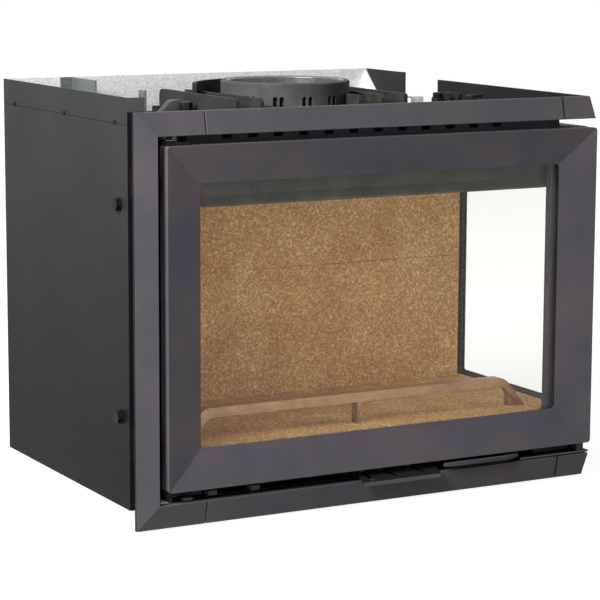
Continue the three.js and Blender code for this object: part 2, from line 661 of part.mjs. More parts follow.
/** A flat ring of rope or gasket inside two limits, with its edges softened if asked. */
function ropeRing(outerX, outerZ, width, y, soften = 0) {
  const shape = roundedRectangle(grow(outerX, -soften), grow(outerZ, -soften), door.corner);
  shape.holes.push(roundedRectangle(
    grow(outerX, soften - width), grow(outerZ, soften - width), door.corner / 2));
  if (!soften) return extrude('y', shape, y);
  return extrude('y', shape, grow(y, -soften), {
    bevelEnabled: true, bevelThickness: soften, bevelSize: soften, bevelSegments: 2,
  });
}

/** Two steel strips that hold a pane in its rebate. */
function paneStrips(holeX, holeZ, y) {
  const x = grow(holeX, (holeX[0] - holeX[1]) * (1 - glazing.stripShare) / 2);
  const inner = glazing.stripInset;
  const outer = glazing.stepLap - overcut;
  return {
    upper: block(x, y, [holeZ[1] + inner, holeZ[1] + outer]),
    lower: block(x, y, [holeZ[0] - outer, holeZ[0] - inner]),
  };
}

/** The door, drawn with its front at y = 0 and then moved to where it stands. */
function addDoor() {
  const { thick } = door;
  const place = (solid) => solid.translate([0, doorFront, 0]);
  const seat = paneSeat();
  const ropeEdge = glazing.ropeStart + glazing.rope;
  const channel = ropeRing(grow(windowX, ropeEdge), grow(windowZ, ropeEdge), glazing.rope,
    [thick - glazing.ropeDepth, thick + overcut]);
  const depth = hinge.depth + 2 * overcut;
  const pinBore = (x, setback, range) => bar('z', [x, setback], range, hinge.pin + running);
  const lowBore = [doorZ[0] - overcut, doorZ[0] + depth];
  add('door_frame', place(cut(
    glazedFrame(doorX, doorZ, windowX, windowZ), channel,
    pinBore(hingeX, hinge.setback, [doorZ[1] - depth, doorZ[1] + overcut]),
    pinBore(hingeX, hinge.setback, lowBore),
    pinBore(latchX, latch.setback, lowBore))), finishes.castTrim);

  const paneX = grow(windowX, glazing.lap - overcut);
  const paneZ = grow(windowZ, glazing.lap - overcut);
  add('door_glass', place(block(paneX, seat.pane, paneZ)), finishes.glass);
  add('door_glass_gasket', place(ropeRing(paneX, paneZ, glazing.gasketWidth, seat.gasket)), finishes.rope);
  add('door_seal_rope', place(ropeRing(grow(windowX, ropeEdge - fit), grow(windowZ, ropeEdge - fit),
    glazing.rope - 2 * fit, [thick - glazing.ropeDepth + fit, thick + frontPlate.gap - fit],
    glazing.ropeRound)), finishes.rope);
  const strips = paneStrips(windowX, windowZ, [seat.pane[1] + fit, thick]);
  add('door_glass_strip_upper', place(strips.upper), finishes.steel);
  add('door_glass_strip_lower', place(strips.lower), finishes.steel);
}

/** The fixed glazed side, made like the door and turned to face right. */
function addSideFrame() {
  const holeX = [sideY[0] + sideGlazing.frontStile, sideY[1] - sideGlazing.rearStile];
  const place = (solid) => solid.rotate([0, 0, 90]).translate([doorX[1], 0, 0]);
  const seat = paneSeat();
  const paneX = grow(holeX, glazing.lap - overcut);
  const paneZ = grow(windowZ, glazing.lap - overcut);
  add('side_frame', place(glazedFrame(sideY, doorZ, holeX, windowZ)), finishes.castTrim);
  add('side_glass', place(block(paneX, seat.pane, paneZ)), finishes.glass);
  add('side_glass_gasket', place(ropeRing(paneX, paneZ, glazing.gasketWidth, seat.gasket)), finishes.rope);
}

// ---------- inside the firebox ----------

/** Vermiculite boards: floor, two back boards, left board and the baffle over the fire. */
function addLinings() {
  const { side, back, lowerBoard, rightGap, frontGap } = lining;
  const backX = [insideX[0] + side + fit, insideX[1] - rightGap];
  const backY = [insideRear - back, insideRear];
  const seam = liningZ[0] + lowerBoard;
  add('firebox_floor', block(insideX, [bodyFront, insideRear], [baseTop + fit, liningZ[0] - fit]),
    finishes.vermiculite);
  add('back_lining_lower', block(backX, backY, [liningZ[0], seam]), finishes.vermiculite);
  add('back_lining_upper', block(backX, backY, [seam + fit, liningZ[1]]), finishes.vermiculite);
  add('left_lining', block(span(insideX[0], side), [plateBack + frontGap, insideRear], liningZ),
    finishes.vermiculite);
  add('baffle_plate', block([insideX[0], sideArmX - baffle.rightGap],
    [plateBack + baffle.setback, insideRear], span(liningZ[1] + fit, baffle.thick)), finishes.vermiculite);
}

/** Sheet behind the top of the door glass that turns the air down over it, with an arm for the side glass. */
function addDeflector() {
  const { depth, drop, lip, sheet, leftGap, rightGap, rearGap } = deflector;
  const back = plateBack + depth;
  const bottom = windowZ[1] - drop;
  const top = deckZ[0] - fit;
  const sideTop = shelfZ[0] - fit;
  const sideEnd = insideX[1];
  const front = prism('x', [
    [back - lip, bottom], [back - lip, bottom + sheet], [back - sheet, bottom + lip + sheet],
    [back - sheet, top - sheet], [bodyFront, top - sheet], [bodyFront, top], [back, top],
    [back, bottom + lip],
  ], [fireOpening.x[0] + leftGap, sideEnd]);
  const corner = [fireOpening.x[1] - rightGap, sideEnd + overcut];
  const shelfRoom = block(corner, grow([back - lip, back], overcut), [sideTop, top + overcut]);
  const plateRoom = block(corner, [back - lip - overcut, bodyFront], grow([bottom, sideTop], overcut));
  const sideArm = prism('y', [
    [sideEnd, bottom], [sideEnd, bottom + sheet], [sideArmX + sheet, bottom + lip + sheet],
    [sideArmX + sheet, sideTop], [sideArmX, sideTop], [sideArmX, bottom + lip],
  ], [back - sheet, insideRear - lining.back - rearGap]);
  add('airwash_deflector', join(cut(front, shelfRoom, plateRoom), sideArm), finishes.castBody);
}

/** A bar that keeps the logs off the glass: its ends bend down to the floor, with a post between them. */
function addLogRetainer() {
  const { height, deep, leftRun, rightRun, leftLeg, rightLeg, shoulder } = retainer;
  const left = fireOpening.x[0] + retainer.leftGap;
  const right = fireOpening.x[1] - retainer.rightGap;
  const y = span(plateBack + retainer.setback, deep);
  const foot = liningZ[0];
  const top = foot + height;
  const under = top - retainer.rail;
  const slope = rightRun / height;
  const rail = extrude('y', softOutline([
    [left, foot], [left, foot + shoulder], [left + leftRun, top, retainer.leftBend],
    [right - rightRun, top, retainer.rightBend], [right, foot], [right - rightLeg, foot],
    [right - rightLeg - (under - foot) * slope, under, retainer.leftBend],
    [left + leftRun + retainer.leftInner, under, retainer.leftBend],
    [left + leftLeg, foot + retainer.innerShoulder], [left + leftLeg, foot],
  ]), y, { curveSegments: retainer.curve });

  const gussetX = [right - retainer.gusset, right - rightLeg / 2];
  const gusset = prism('y', [
    [gussetX[0], foot], [gussetX[1], foot], [gussetX[0], foot + (gussetX[1] - gussetX[0]) / slope],
  ], [y[0] + retainer.recess, y[1]]);
  const postX = (left + right) / 2 - retainer.postShift;
  const post = prism('y', [
    [postX, foot], [postX + retainer.postFoot, foot], [postX + retainer.postTop, under + overcut],
    [postX, under + overcut],
  ], y);
  add('log_retainer', join(rail, gusset, post), finishes.strawSteel);
}

// ---------- hinges and latch ----------

/** A hinge bracket: a leaf with the pin's bore, and a tab against the front plate. */
function hingeBracket(leafZ, tabZ) {
  const back = plateFront - fit;
  const x = [hingeX - hinge.edge, hingeX + hinge.edge + hinge.reach];
  const leaf = block(x, [hingeY - hinge.edge, back], leafZ);
  const tab = block([doorX[0] + frontPlate.inset + fit, x[1]], [back - hinge.leaf, back], tabZ);
  const bore = bar('z', [hingeX, hingeY], grow(leafZ, overcut), hinge.pin + running);
  return cut(join(leaf, tab), bore);
}

/** Two pins, each in a bracket on the front plate and a bore in the door's edge. */
function addHinges() {
  const centre = [hingeX, hingeY];
  const upper = span(doorZ[1] + hinge.lift, hinge.leaf);
  add('upper_hinge_bracket', hingeBracket(upper, span(upper[0], hinge.upperTab)), finishes.castBody);
  const upperHead = span(upper[1] + fit, hinge.headHigh);
  add('upper_hinge_pin', join(
    bar('z', centre, [doorZ[1] - hinge.depth, upperHead[1]], hinge.pin),
    bar('z', centre, upperHead, hinge.head)), finishes.brightSteel);

  const washerZ = [doorZ[0] - fit - washer.thick, doorZ[0] - fit];
  add('hinge_washer', cut(bar('z', centre, washerZ, washer.radius),
    bar('z', centre, grow(washerZ, overcut), hinge.pin + running)), finishes.brightSteel);
  const lowerTop = washerZ[0] - fit;
  const lower = [lowerTop - hinge.leaf, lowerTop];
  add('lower_hinge_bracket', hingeBracket(lower, [lowerTop - hinge.lowerTab, lowerTop]), finishes.castBody);
  const lowerHead = [lower[0] - fit - hinge.headHigh, lower[0] - fit];
  add('lower_hinge_pin', join(
    bar('z', centre, [lowerHead[0], doorZ[0] + hinge.depth], hinge.pin),
    bar('z', centre, lowerHead, hinge.head)), finishes.brightSteel);
}

/** The pull bar under the door, with the hook that holds the door shut, its pin and its strike. */
function addLatch() {
  const { width, reach, nose } = latchHook;
  const barX = [latchX - latch.barEnd - latch.barLength, latchX - latch.barEnd];
  const front = doorFront - latch.reachOut;
  const back = front + latch.barDeep;
  const grip = prism('z', [
    [barX[0], back - latch.arm / 2], [barX[0] + latch.barEnd, front], [barX[1], front],
    [latchX + latch.arm, latchY - latch.boss], [latchX + latch.boss, latchY], [latchX, latchY + latch.arm],
    [barX[1] - latch.arm, back], [barX[0] + latch.arm, back],
  ], latchZ);
  const centre = [latchX, latchY];
  const boss = bar('z', centre, latchZ, latch.boss);
  const armX = grow([latchX, latchX], width / 2);
  const hookY = grow([latchY + reach, latchY + reach], width / 2);
  const arm = block(armX, [latchY, hookY[1]], latchZ);
  const hook = block([armX[0], latchX + nose], hookY, latchZ);
  const bore = bar('z', centre, grow(latchZ, overcut), hinge.pin + running);
  add('door_handle', cut(join(grip, boss, arm, hook), bore), finishes.paintedSteel);

  const headZ = [latchZ[0] - fit - latchHook.drop / 2, latchZ[0] - fit];
  add('handle_pin', join(
    bar('z', centre, [headZ[0], doorZ[0] + hinge.depth], hinge.pin),
    bar('z', centre, headZ, hinge.head),
    bar('z', centre, [latchZ[1] + fit, doorZ[0] - fit], hinge.edge)), finishes.brightSteel);

  add('latch_keeper', block(span(armX[1] + keeper.gap, keeper.wide), [hookY[0] - keeper.gap, plateBack],
    [plateFootZ, latchZ[0] - fit]), finishes.steel);
}

// ---------- sill and air control ----------

/** Sill between the front plate and the bottom trim bar, with a lip and a door rest at its right end. */
function addSill() {
  const left = bodyLeft - sill.leftInset;
  const padRight = doorX[1] - sill.padInset;
  const plate = block([left, bodyRight], [sill.front, plateBack], sillZ);
  const lip = block([latchX + sill.lipGap, doorX[1]], [-sill.lipFront, plateBack], sillZ);
  const pad = block([padRight - sill.padWidth, padRight], [-sill.padForward, doorBack],
    [sillZ[1] - overcut, doorZ[0] - fit]);
  add('front_sill', join(plate, lip, pad), finishes.castTrim);
  for (let i = 0; i < restBlock.count; i += 1) {
    const x = span(doorX[0] + restBlock.inset + i * restBlock.pitch, restBlock.width);
    add(`door_rest_block_${i + 1}`, block(x, [sill.front - restBlock.forward, plateFront - fit],
      span(plateFootZ, restBlock.height)), finishes.castTrim);
  }
}

/** Slide that opens and closes the combustion air, with a sloped finger plate cut by slanting slits. */
function addAirControl() {
  const { width, stem, plate, bend, noseDrop, nose, slit, slitRear } = airControl;
  const [bottom, top] = controlZ;
  const x = grow([controlMiddle, controlMiddle], width / 2);
  const tip = top - noseDrop;
  const stemStart = doorBack - overcut;
  const finger = prism('x', [
    [bend, bottom], [controlFront + plate, tip - plate], [controlFront, tip - nose], [controlFront, tip],
    [bend, top], [stemStart + overcut, top], [stemStart + overcut, bottom],
  ], x);
  const slits = airControl.slits.map(([rear, front]) => prism('z', [
    [x[0] + front, controlFront + plate], [x[0] + front + slit, controlFront + plate],
    [x[0] + rear + slitRear, bend + plate], [x[0] + rear, bend + plate],
  ], grow([tip - nose, top], overcut)));
  const stemPlate = block(grow([controlMiddle, controlMiddle], stem / 2), [stemStart, controlBack], controlZ);
  const port = block(grow([controlMiddle, controlMiddle], airControl.windowWide / 2),
    [plateBack + airControl.windowFrom, controlBack - airControl.windowTo], grow(controlZ, overcut));
  add('air_slide', cut(join(finger, stemPlate), ...slits, port), finishes.paintedSteel);

  const guideX = grow(airwayX, -overcut);
  add('air_slide_guide', block(guideX, [plateFront + overcut, controlBack + 2 * overcut],
    [plateFootZ, bottom - fit]), finishes.steel);
}

// ---------- clamps on the top ----------

/** A steel strap on the deck with an upturned edge, held by a hexagon bolt. */
function deckClamp(x, y, lift) {
  const { width, depth, thick, upright, root, inset, boltInset, boltAcross, boltHigh } = clamp;
  const z = deckZ[1] + fit;
  const strap = block(span(x, width), span(y, depth), span(z, thick));
  const edge = prism('y', [
    [x + width - root, z], [x + width, z], [x + width, z + lift], [x + width - upright, z + lift],
  ], grow(span(y, depth), -inset));
  const bolt = hexagon('z', [x + boltInset, y + depth / 2], span(z, thick + boltHigh), boltAcross);
  return join(strap, edge, bolt);
}

function addClamps() {
  add('deck_clamp_left', deckClamp(domeX[0] - clamp.width - fit, domeY[1] - clamp.leftFromRear,
    clamp.leftLift), finishes.galvanised);
  add('deck_clamp_right', deckClamp(deckX[1] - clamp.rightInset, bodyRear - clamp.rightFromRear,
    clamp.rightLift), finishes.castBody);
}

// ---------- assembly ----------

addTrim();
addSeamBrackets();
addColumnBrackets();
addCasing();
addRails();
addCasingHardware();
addBody();
addFlueCollar();
addDoor();
addSideFrame();
addLinings();
addDeflector();
addLogRetainer();
addHinges();
addLatch();
addSill();
addAirControl();
addClamps();

const overallX = [casing.left - fit - caseBolt.high, doorX[1]];
const standing = casingZ[0] - fit - railSize.height;
group.position.set(
  -(overallX[0] + overallX[1]) / 2, -(controlFront + casingY[1]) / 2, -standing);
group.updateMatrixWorld(true);

export default group;
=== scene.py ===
# %% [markdown]
# # A fireplace insert, dressed in Blender
# The construction is already packed as solids, each one a node at its real place. This file gives
# every surface its finish, softens the edges that a foundry or a folding press leaves soft, and adds
# the small parts that only the eye misses. Lengths are metres, +Z is up and the door faces -Y.

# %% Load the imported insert
import json
import math

import bmesh
import bpy
from mathutils import Matrix, Vector


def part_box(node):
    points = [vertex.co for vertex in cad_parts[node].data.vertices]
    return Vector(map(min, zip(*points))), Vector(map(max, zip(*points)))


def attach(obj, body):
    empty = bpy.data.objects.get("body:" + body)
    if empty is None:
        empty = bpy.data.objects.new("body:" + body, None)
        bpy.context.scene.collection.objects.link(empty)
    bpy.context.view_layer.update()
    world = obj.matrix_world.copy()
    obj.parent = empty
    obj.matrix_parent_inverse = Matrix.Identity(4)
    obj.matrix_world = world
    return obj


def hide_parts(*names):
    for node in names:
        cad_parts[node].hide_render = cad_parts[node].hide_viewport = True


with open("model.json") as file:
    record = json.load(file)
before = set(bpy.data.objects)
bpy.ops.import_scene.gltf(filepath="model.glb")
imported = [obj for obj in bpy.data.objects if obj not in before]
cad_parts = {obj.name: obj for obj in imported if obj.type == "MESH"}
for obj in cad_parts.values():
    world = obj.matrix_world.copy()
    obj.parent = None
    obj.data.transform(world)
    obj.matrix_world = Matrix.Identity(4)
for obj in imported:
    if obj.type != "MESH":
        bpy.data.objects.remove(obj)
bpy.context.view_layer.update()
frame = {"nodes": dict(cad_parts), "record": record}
MM = 0.001

# %% [markdown]
# ## Where things are
# The solids were drawn from the left edge of the cast trim, the plane of its outer edges and its
# bottom edge. Places could be given in the scene's metres, but then a part that is added would stay
# behind when the solids move. The solids' boxes tell where that corner went instead, so a place is
# given in the drawing's millimetres and follows them.

# %% From drawing millimetres to scene metres
BOLT_PROUD = 5.3
CASING_DEPTH_FROM_TRIM = 450.0
TRIM_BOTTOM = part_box("trim_left_frame")[0][2]
CORNER = Vector((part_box("casing_bolt_upper")[0][0] + BOLT_PROUD * MM,
                 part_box("casing_back_panel")[1][1] - CASING_DEPTH_FROM_TRIM * MM, TRIM_BOTTOM))


def place(x, y, z):
    """A point of the drawing, in millimetres, as a point of the scene."""
    return CORNER + Vector((x, y, z)) * MM


print("the trim's outer bottom corner is at", [round(v, 4) for v in CORNER])

# %% [markdown]
# ## The camera
# The insert was seen from its left, a little from above, with a long lens from about three metres. A
# camera could be placed by eye until the outlines match. Here the eye point and the angles were worked
# out from edges whose real lengths are known, so that every other edge falls into place by itself.

# %% Camera
IMAGE = 600
SENSOR = 36.0
FOCAL_PIXELS = 2300.5
YAW, PITCH, ROLL = 28.578, 9.106, 0.219
EYE = (-1197.05, -2636.38, 767.94)

camera_data = bpy.data.cameras.new("camera")
camera_data.sensor_width = SENSOR
camera_data.lens = SENSOR * FOCAL_PIXELS / IMAGE
camera_data.clip_end = 200
camera = bpy.data.objects.new("camera", camera_data)
bpy.context.collection.objects.link(camera)
turn = (Matrix.Rotation(math.radians(-YAW), 4, "Z") @ Matrix.Rotation(math.radians(90 - PITCH), 4, "X")
        @ Matrix.Rotation(math.radians(ROLL), 4, "Z"))
camera.matrix_world = Matrix.Translation(place(*EYE)) @ turn
bpy.context.scene.camera = camera
print("lens in millimetres:", round(camera_data.lens, 1))

# %% [markdown]
# ## Finishes
# A material is a small chain of nodes: a pattern, a ramp that picks its colours, and the shader. A
# painted picture could be wrapped round each piece, but it would need its seams hidden. These patterns
# read Object coordinates instead, so they are fixed to the metal and keep their size in millimetres.
# One helper turns a hex colour into the linear numbers that Blender works in, and one adds a node.

# %% Helpers for materials
def colour(code):
    """An sRGB hex colour as linear numbers, with an alpha of 1."""
    channels = [int(code[i:i + 2], 16) / 255 for i in (0, 2, 4)]
    return tuple(c / 12.92 if c <= 0.04045 else ((c + 0.055) / 1.055) ** 2.4 for c in channels) + (1.0,)


def add_node(tree, kind, inputs=None, stops=(), **settings):
    """A node with its settings, its ramp's stops, and its sockets set or linked.

    A socket takes a number, a hex colour, another socket, or a node, which lends its first output.
    """
    made = tree.nodes.new("ShaderNode" + kind)
    for name, value in settings.items():
        setattr(made, name, value)
    if stops:
        for _ in stops[2:]:
            made.color_ramp.elements.new(0.5)
        for element, (position, code) in zip(made.color_ramp.elements, stops):
            element.position = position
            element.color = colour(code)
    for name, value in (inputs or {}).items():
        if isinstance(value, bpy.types.Node):
            value = next(output for output in value.outputs if output.enabled)
        if isinstance(value, bpy.types.NodeSocket):
            tree.links.new(value, made.inputs[name])
        else:
            made.inputs[name].default_value = colour(value) if isinstance(value, str) else value
    return made


def start_material(name):
    """An empty material, its node tree and the coordinates that its patterns read."""
    material = bpy.data.materials.new(name)
    material.use_nodes = True
    tree = material.node_tree
    tree.nodes.clear()
    return material, tree, add_node(tree, "TexCoord").outputs["Object"]


METRE = 1000  # in millimetres, as all sizes of patterns are: METRE / size is a pattern's scale
CLOUDY = 0.55  # how much of a noise is its fine detail, for clouds and soft blotches
FACTOR, UNDER, OVER = 0, 6, 7  # a Mix node's colour sockets, whose names are shared with others
COLOURS = {"data_type": "RGBA", "blend_type": "MIX"}
SHADING = {"data_type": "RGBA", "blend_type": "MULTIPLY"}
NOISE_SPAN = {"From Min": 0.3, "From Max": 0.7}  # a noise seldom leaves this range
print("black paint 111012 in linear numbers:", [round(c, 5) for c in colour("111012")])

# %% [markdown]
# ### Painted cast iron
# Trim and door are grey iron, cast in fine sand and sprayed with matt stove paint. The sand leaves
# grains under half a millimetre and the pour leaves very broad, faint swells. One flat grey would do
# from far away, but it looks like plastic close by, so the tone drifts over each casting and the
# grain darkens it. The grain is drawn at 0.9 mm, coarser than real, so that it shows in a small
# picture.

# %% Cast iron with stove paint
MATT = 0.05
TONE_DRIFT, DENTS, SAND_GRAIN = 90, 38, 0.9


def cast_paint(name, dark, light, rough):
    """Matt stove paint over sand-cast iron."""
    material, tree, spot = start_material(name)
    drift = add_node(tree, "TexNoise", {"Vector": spot, "Scale": METRE / TONE_DRIFT, "Detail": 3,
                                        "Roughness": CLOUDY})
    grain = add_node(tree, "TexNoise", {"Vector": spot, "Scale": METRE / SAND_GRAIN, "Detail": 3,
                                        "Roughness": 0.7})
    dents = add_node(tree, "TexNoise", {"Vector": spot, "Scale": METRE / DENTS, "Detail": 2,
                                        "Roughness": CLOUDY})
    tone = add_node(tree, "ValToRGB", {"Fac": drift}, stops=[(0.3, dark), (0.7, light)])
    specks = add_node(tree, "ValToRGB", {"Fac": grain},
                      stops=[(0.36, "8a8a8a"), (0.5, "ffffff"), (0.66, "ffffff")])
    paint = add_node(tree, "Mix", {FACTOR: 0.35, UNDER: tone, OVER: specks}, **SHADING)
    sheen = add_node(tree, "MapRange", {"Value": grain, **NOISE_SPAN, "To Min": rough - 0.06,
                                        "To Max": rough + 0.08})
    swell = add_node(tree, "Bump", {"Height": dents, "Distance": 0.25 * MM, "Strength": 1.0})
    relief = add_node(tree, "Bump", {"Height": grain, "Distance": 0.05 * MM, "Strength": 1.0,
                                     "Normal": swell})
    shader = add_node(tree, "BsdfPrincipled", {"Base Color": paint, "Metallic": 0.1, "Roughness": sheen,
                                               "Specular IOR Level": MATT, "Normal": relief})
    add_node(tree, "OutputMaterial", {"Surface": shader})
    return material


# %% Stove paints of this insert
# matt paint over sand: a soft grey with a breath of violet and faint specks
trim_iron = cast_paint("grey_iron_stove_paint", "49494d", "555054", 0.58)
# the same paint on the door, a little warmer and duller, so the door stands apart from its trim
door_iron = cast_paint("grey_iron_stove_paint_door", "49484d", "565155", 0.6)
# soot and painted shade: small castings and inner slopes are made dark and soft
soot_and_shade_iron = cast_paint("grey_iron_soot_and_shade_paint", "1c1b1c", "252425", 0.7)
# painted shade: a black for gaps, for faces under the door and in the trim's shadow, and for the panel's
# seam
shade_and_seam_black = cast_paint("grey_iron_shade_and_seam_black", "111012", "191819", 0.75)
# drawn steel is smoother than a casting, so the handle shines a little more
grip_paint = cast_paint("drawn_steel_stove_paint", "39383b", "434246", 0.5)
print("stove paints:", [m.name for m in (trim_iron, door_iron, soot_and_shade_iron, shade_and_seam_black, grip_paint)])

# %% [markdown]
# ### Bare olive iron
# The castings that take the heat are sprayed thinly: sand marks are coarser, and rust and heat show
# through in the hollows. Rust could be painted by hand where it shows, but a broad noise puts it in
# patches of the right size on every casting at once, also on those that are turned away.

# %% Thinly painted casting
BLOTCHES, RUST_PATCHES, SAND_MARKS = 34, 60, 1.3


def body_iron(name, hollow, middle, crest, rust_tone):
    """A casting with little paint, darker in its hollows and rusty in patches."""
    material, tree, spot = start_material(name)
    blotch = add_node(tree, "TexNoise", {"Vector": spot, "Scale": METRE / BLOTCHES, "Detail": 5,
                                         "Roughness": 0.6})
    patch = add_node(tree, "TexNoise", {"Vector": spot, "Scale": METRE / RUST_PATCHES, "Detail": 6,
                                        "Roughness": 0.7})
    grain = add_node(tree, "TexNoise", {"Vector": spot, "Scale": METRE / SAND_MARKS, "Detail": 4,
                                        "Roughness": 0.75})
    tone = add_node(tree, "ValToRGB", {"Fac": blotch}, stops=[(0.28, hollow), (0.5, middle), (0.72, crest)])
    rust = add_node(tree, "ValToRGB", {"Fac": patch}, stops=[(0.6, "000000"), (0.78, "ffffff")])
    aged = add_node(tree, "Mix", {FACTOR: rust, UNDER: tone, OVER: rust_tone}, **COLOURS)
    sheen = add_node(tree, "MapRange", {"Value": grain, **NOISE_SPAN, "To Min": 0.55, "To Max": 0.78})
    relief = add_node(tree, "Bump", {"Height": grain, "Distance": 0.12 * MM, "Strength": 1.0})
    shader = add_node(tree, "BsdfPrincipled", {"Base Color": aged, "Metallic": 0.1, "Roughness": sheen,
                                               "Specular IOR Level": MATT, "Normal": relief})
    add_node(tree, "OutputMaterial", {"Surface": shader})
    return material


# thin paint on rough iron: almost black with a breath of olive, and no shine
olive_iron = body_iron("thin_painted_iron", "242422", "2c2c2a", "363634", "352d29")
# heat has bleached this one, so it shows paler and browner behind the glass
deflector_iron = body_iron("heated_iron_deflector", "3a3b35", "464640", "52524b", "57453a")
# turned on a lathe before its thin paint, so the ring is lighter and greyer than the top
collar_iron = body_iron("thin_painted_iron_collar", "3c3b3a", "444342", "4d4c4c", "433e3b")
print("bare castings:", [m.name for m in (olive_iron, deflector_iron, collar_iron)])

# %% [markdown]
# ### Sheet steel
# The casing's left side is powder-coated sheet: smooth, with the faint orange peel of the powder. Its
# foot gets less of the room's light, so its grey falls off downwards. A lamp alone could do that, but
# it would darken the foot of the trim as well, so the fall is painted shade in the coating.

# %% Powder-coated sheet
FADE_FOOT, FADE_HEAD = 0.1, 0.56
COAT_CLOUDS, ORANGE_PEEL = 120, 2.2


def powder_coat():
    """A smooth coating with painted shade that makes it darker towards the floor."""
    material, tree, spot = start_material("powder_coated_sheet")
    height = add_node(tree, "SeparateXYZ", {"Vector": spot}).outputs["Z"]
    # painted shade: the coating's grey gets darker towards the floor
    painted_foot_shade = add_node(tree, "MapRange", {"Value": height, "From Min": FADE_FOOT, "From Max": FADE_HEAD})
    clouds = add_node(tree, "TexNoise", {"Vector": spot, "Scale": METRE / COAT_CLOUDS, "Detail": 2,
                                         "Roughness": CLOUDY})
    peel = add_node(tree, "TexNoise", {"Vector": spot, "Scale": METRE / ORANGE_PEEL, "Detail": 2,
                                       "Roughness": CLOUDY})
    tone = add_node(tree, "ValToRGB", {"Fac": painted_foot_shade}, stops=[(0.0, "0b0a0c"), (1.0, "282829")])
    cloud = add_node(tree, "ValToRGB", {"Fac": clouds}, stops=[(0.35, "d9d9d9"), (0.65, "ffffff")])
    coat = add_node(tree, "Mix", {FACTOR: 0.5, UNDER: tone, OVER: cloud}, **SHADING)
    sheen = add_node(tree, "MapRange", {"Value": peel, **NOISE_SPAN, "To Min": 0.42, "To Max": 0.52})
    relief = add_node(tree, "Bump", {"Height": peel, "Distance": 0.03 * MM, "Strength": 1.0})
    shader = add_node(tree, "BsdfPrincipled", {"Base Color": coat, "Roughness": sheen,
                                               "Specular IOR Level": MATT, "Normal": relief})
    add_node(tree, "OutputMaterial", {"Surface": shader})
    return material


# baked powder lies even, so the sheet is smooth and dull; painted shade makes it almost black at its foot
coated_sheet = powder_coat()
# painted light: the flange on the same sheet gets the room's full light, so it is given one lighter grey
lit_flange_paint = cast_paint("powder_coated_flange_painted_light", "464648", "505052", 0.5)
print("coatings:", coated_sheet.name, "and", lit_flange_paint.name)

# %% [markdown]
# ### Zinc
# The hidden sheets are hot-dip galvanised. Zinc freezes in crystals, the spangle, which reflect in
# patches. A noise would blur them into clouds, so a Voronoi pattern is used, where each cell is one
# crystal with its own grey and its own shine.

# %% Galvanised sheet
SPANGLE, ZINC_BLOOM = 1.4, 1.6


def zinc_sheet(name, dark, light):
    """Crystals of zinc, each with its own grey and shine."""
    material, tree, spot = start_material(name)
    cells = add_node(tree, "TexVoronoi", {"Vector": spot, "Scale": METRE / SPANGLE, "Randomness": 1.0})
    crystal = add_node(tree, "SeparateColor", {"Color": cells.outputs["Color"]}).outputs["Red"]
    bloom = add_node(tree, "TexNoise", {"Vector": spot, "Scale": METRE / ZINC_BLOOM, "Detail": 5,
                                        "Roughness": 0.75})
    both = add_node(tree, "Math", {0: crystal, 1: bloom}, operation="ADD")
    level = add_node(tree, "MapRange", {"Value": both, "From Min": 0.35, "From Max": 1.65})
    tone = add_node(tree, "ValToRGB", {"Fac": level}, stops=[(0.15, dark), (0.85, light)])
    sheen = add_node(tree, "MapRange", {"Value": crystal, "To Min": 0.32, "To Max": 0.55})
    relief = add_node(tree, "Bump", {"Height": bloom, "Distance": 0.03 * MM, "Strength": 1.0})
    shader = add_node(tree, "BsdfPrincipled", {"Base Color": tone, "Metallic": 0.45, "Roughness": sheen,
                                               "Normal": relief})
    add_node(tree, "OutputMaterial", {"Surface": shader})
    return material


# fresh zinc on the big sheets: pale, with crystals that glint one by one
galvanised = zinc_sheet("galvanised_sheet", "cfd0d3", "eeeff1")
# old zinc on the clip and the bracket: the same crystals, but dark and dull
clip_zinc = zinc_sheet("dulled_zinc_sheet", "515555", "6d7272")
print("zinc:", galvanised.name, "and", clip_zinc.name)

# %% [markdown]
# ### Small metal
# The glass strips are bare cold-rolled steel, the pins, bolts and trim brackets are blackened, the
# collar is bored bright and the firebox's retainer has taken the straw colour that heat gives steel.
# All of them were rolled, drawn or turned, and that leaves lines along one direction. An anisotropic
# shader could do it, but at this size plain lines do too: a noise is stretched along X. Real lines are
# a few tenths of a millimetre wide. They are drawn at about 1 mm, coarser, so that they show at all.

# %% Rolled, turned, blackened and heat-tinted steel
LINE_STRETCH = (0.06, 1.0, 1.0)
HANDLING_PATCHES = 26


def rolled_steel(name, dark, light, rough, metallic=0.95, line_mm=1.2, gloss=0.5):
    """Steel with the lines that rolls or a lathe leave."""
    material, tree, spot = start_material(name)
    along = add_node(tree, "Mapping", {"Vector": spot, "Scale": LINE_STRETCH})
    lines = add_node(tree, "TexNoise", {"Vector": along, "Scale": METRE / line_mm, "Detail": 3,
                                        "Roughness": 0.6})
    patch = add_node(tree, "TexNoise", {"Vector": spot, "Scale": METRE / HANDLING_PATCHES, "Detail": 4,
                                        "Roughness": CLOUDY})
    both = add_node(tree, "Math", {0: lines, 1: patch}, operation="ADD")
    level = add_node(tree, "MapRange", {"Value": both, "From Min": 0.65, "From Max": 1.35})
    tone = add_node(tree, "ValToRGB", {"Fac": level}, stops=[(0.1, dark), (0.9, light)])
    sheen = add_node(tree, "MapRange", {"Value": lines, **NOISE_SPAN, "To Min": rough - 0.07,
                                        "To Max": rough + 0.09})
    relief = add_node(tree, "Bump", {"Height": lines, "Distance": 0.02 * MM, "Strength": 1.0})
    shader = add_node(tree, "BsdfPrincipled", {"Base Color": tone, "Metallic": metallic, "Roughness": sheen,
                                               "Specular IOR Level": gloss, "Normal": relief})
    add_node(tree, "OutputMaterial", {"Surface": shader})
    return material


# steel as the rolls leave it: mid grey, with long soft reflections
bare_steel = rolled_steel("cold_rolled_steel", "77787a", "9a9b9d", 0.38)
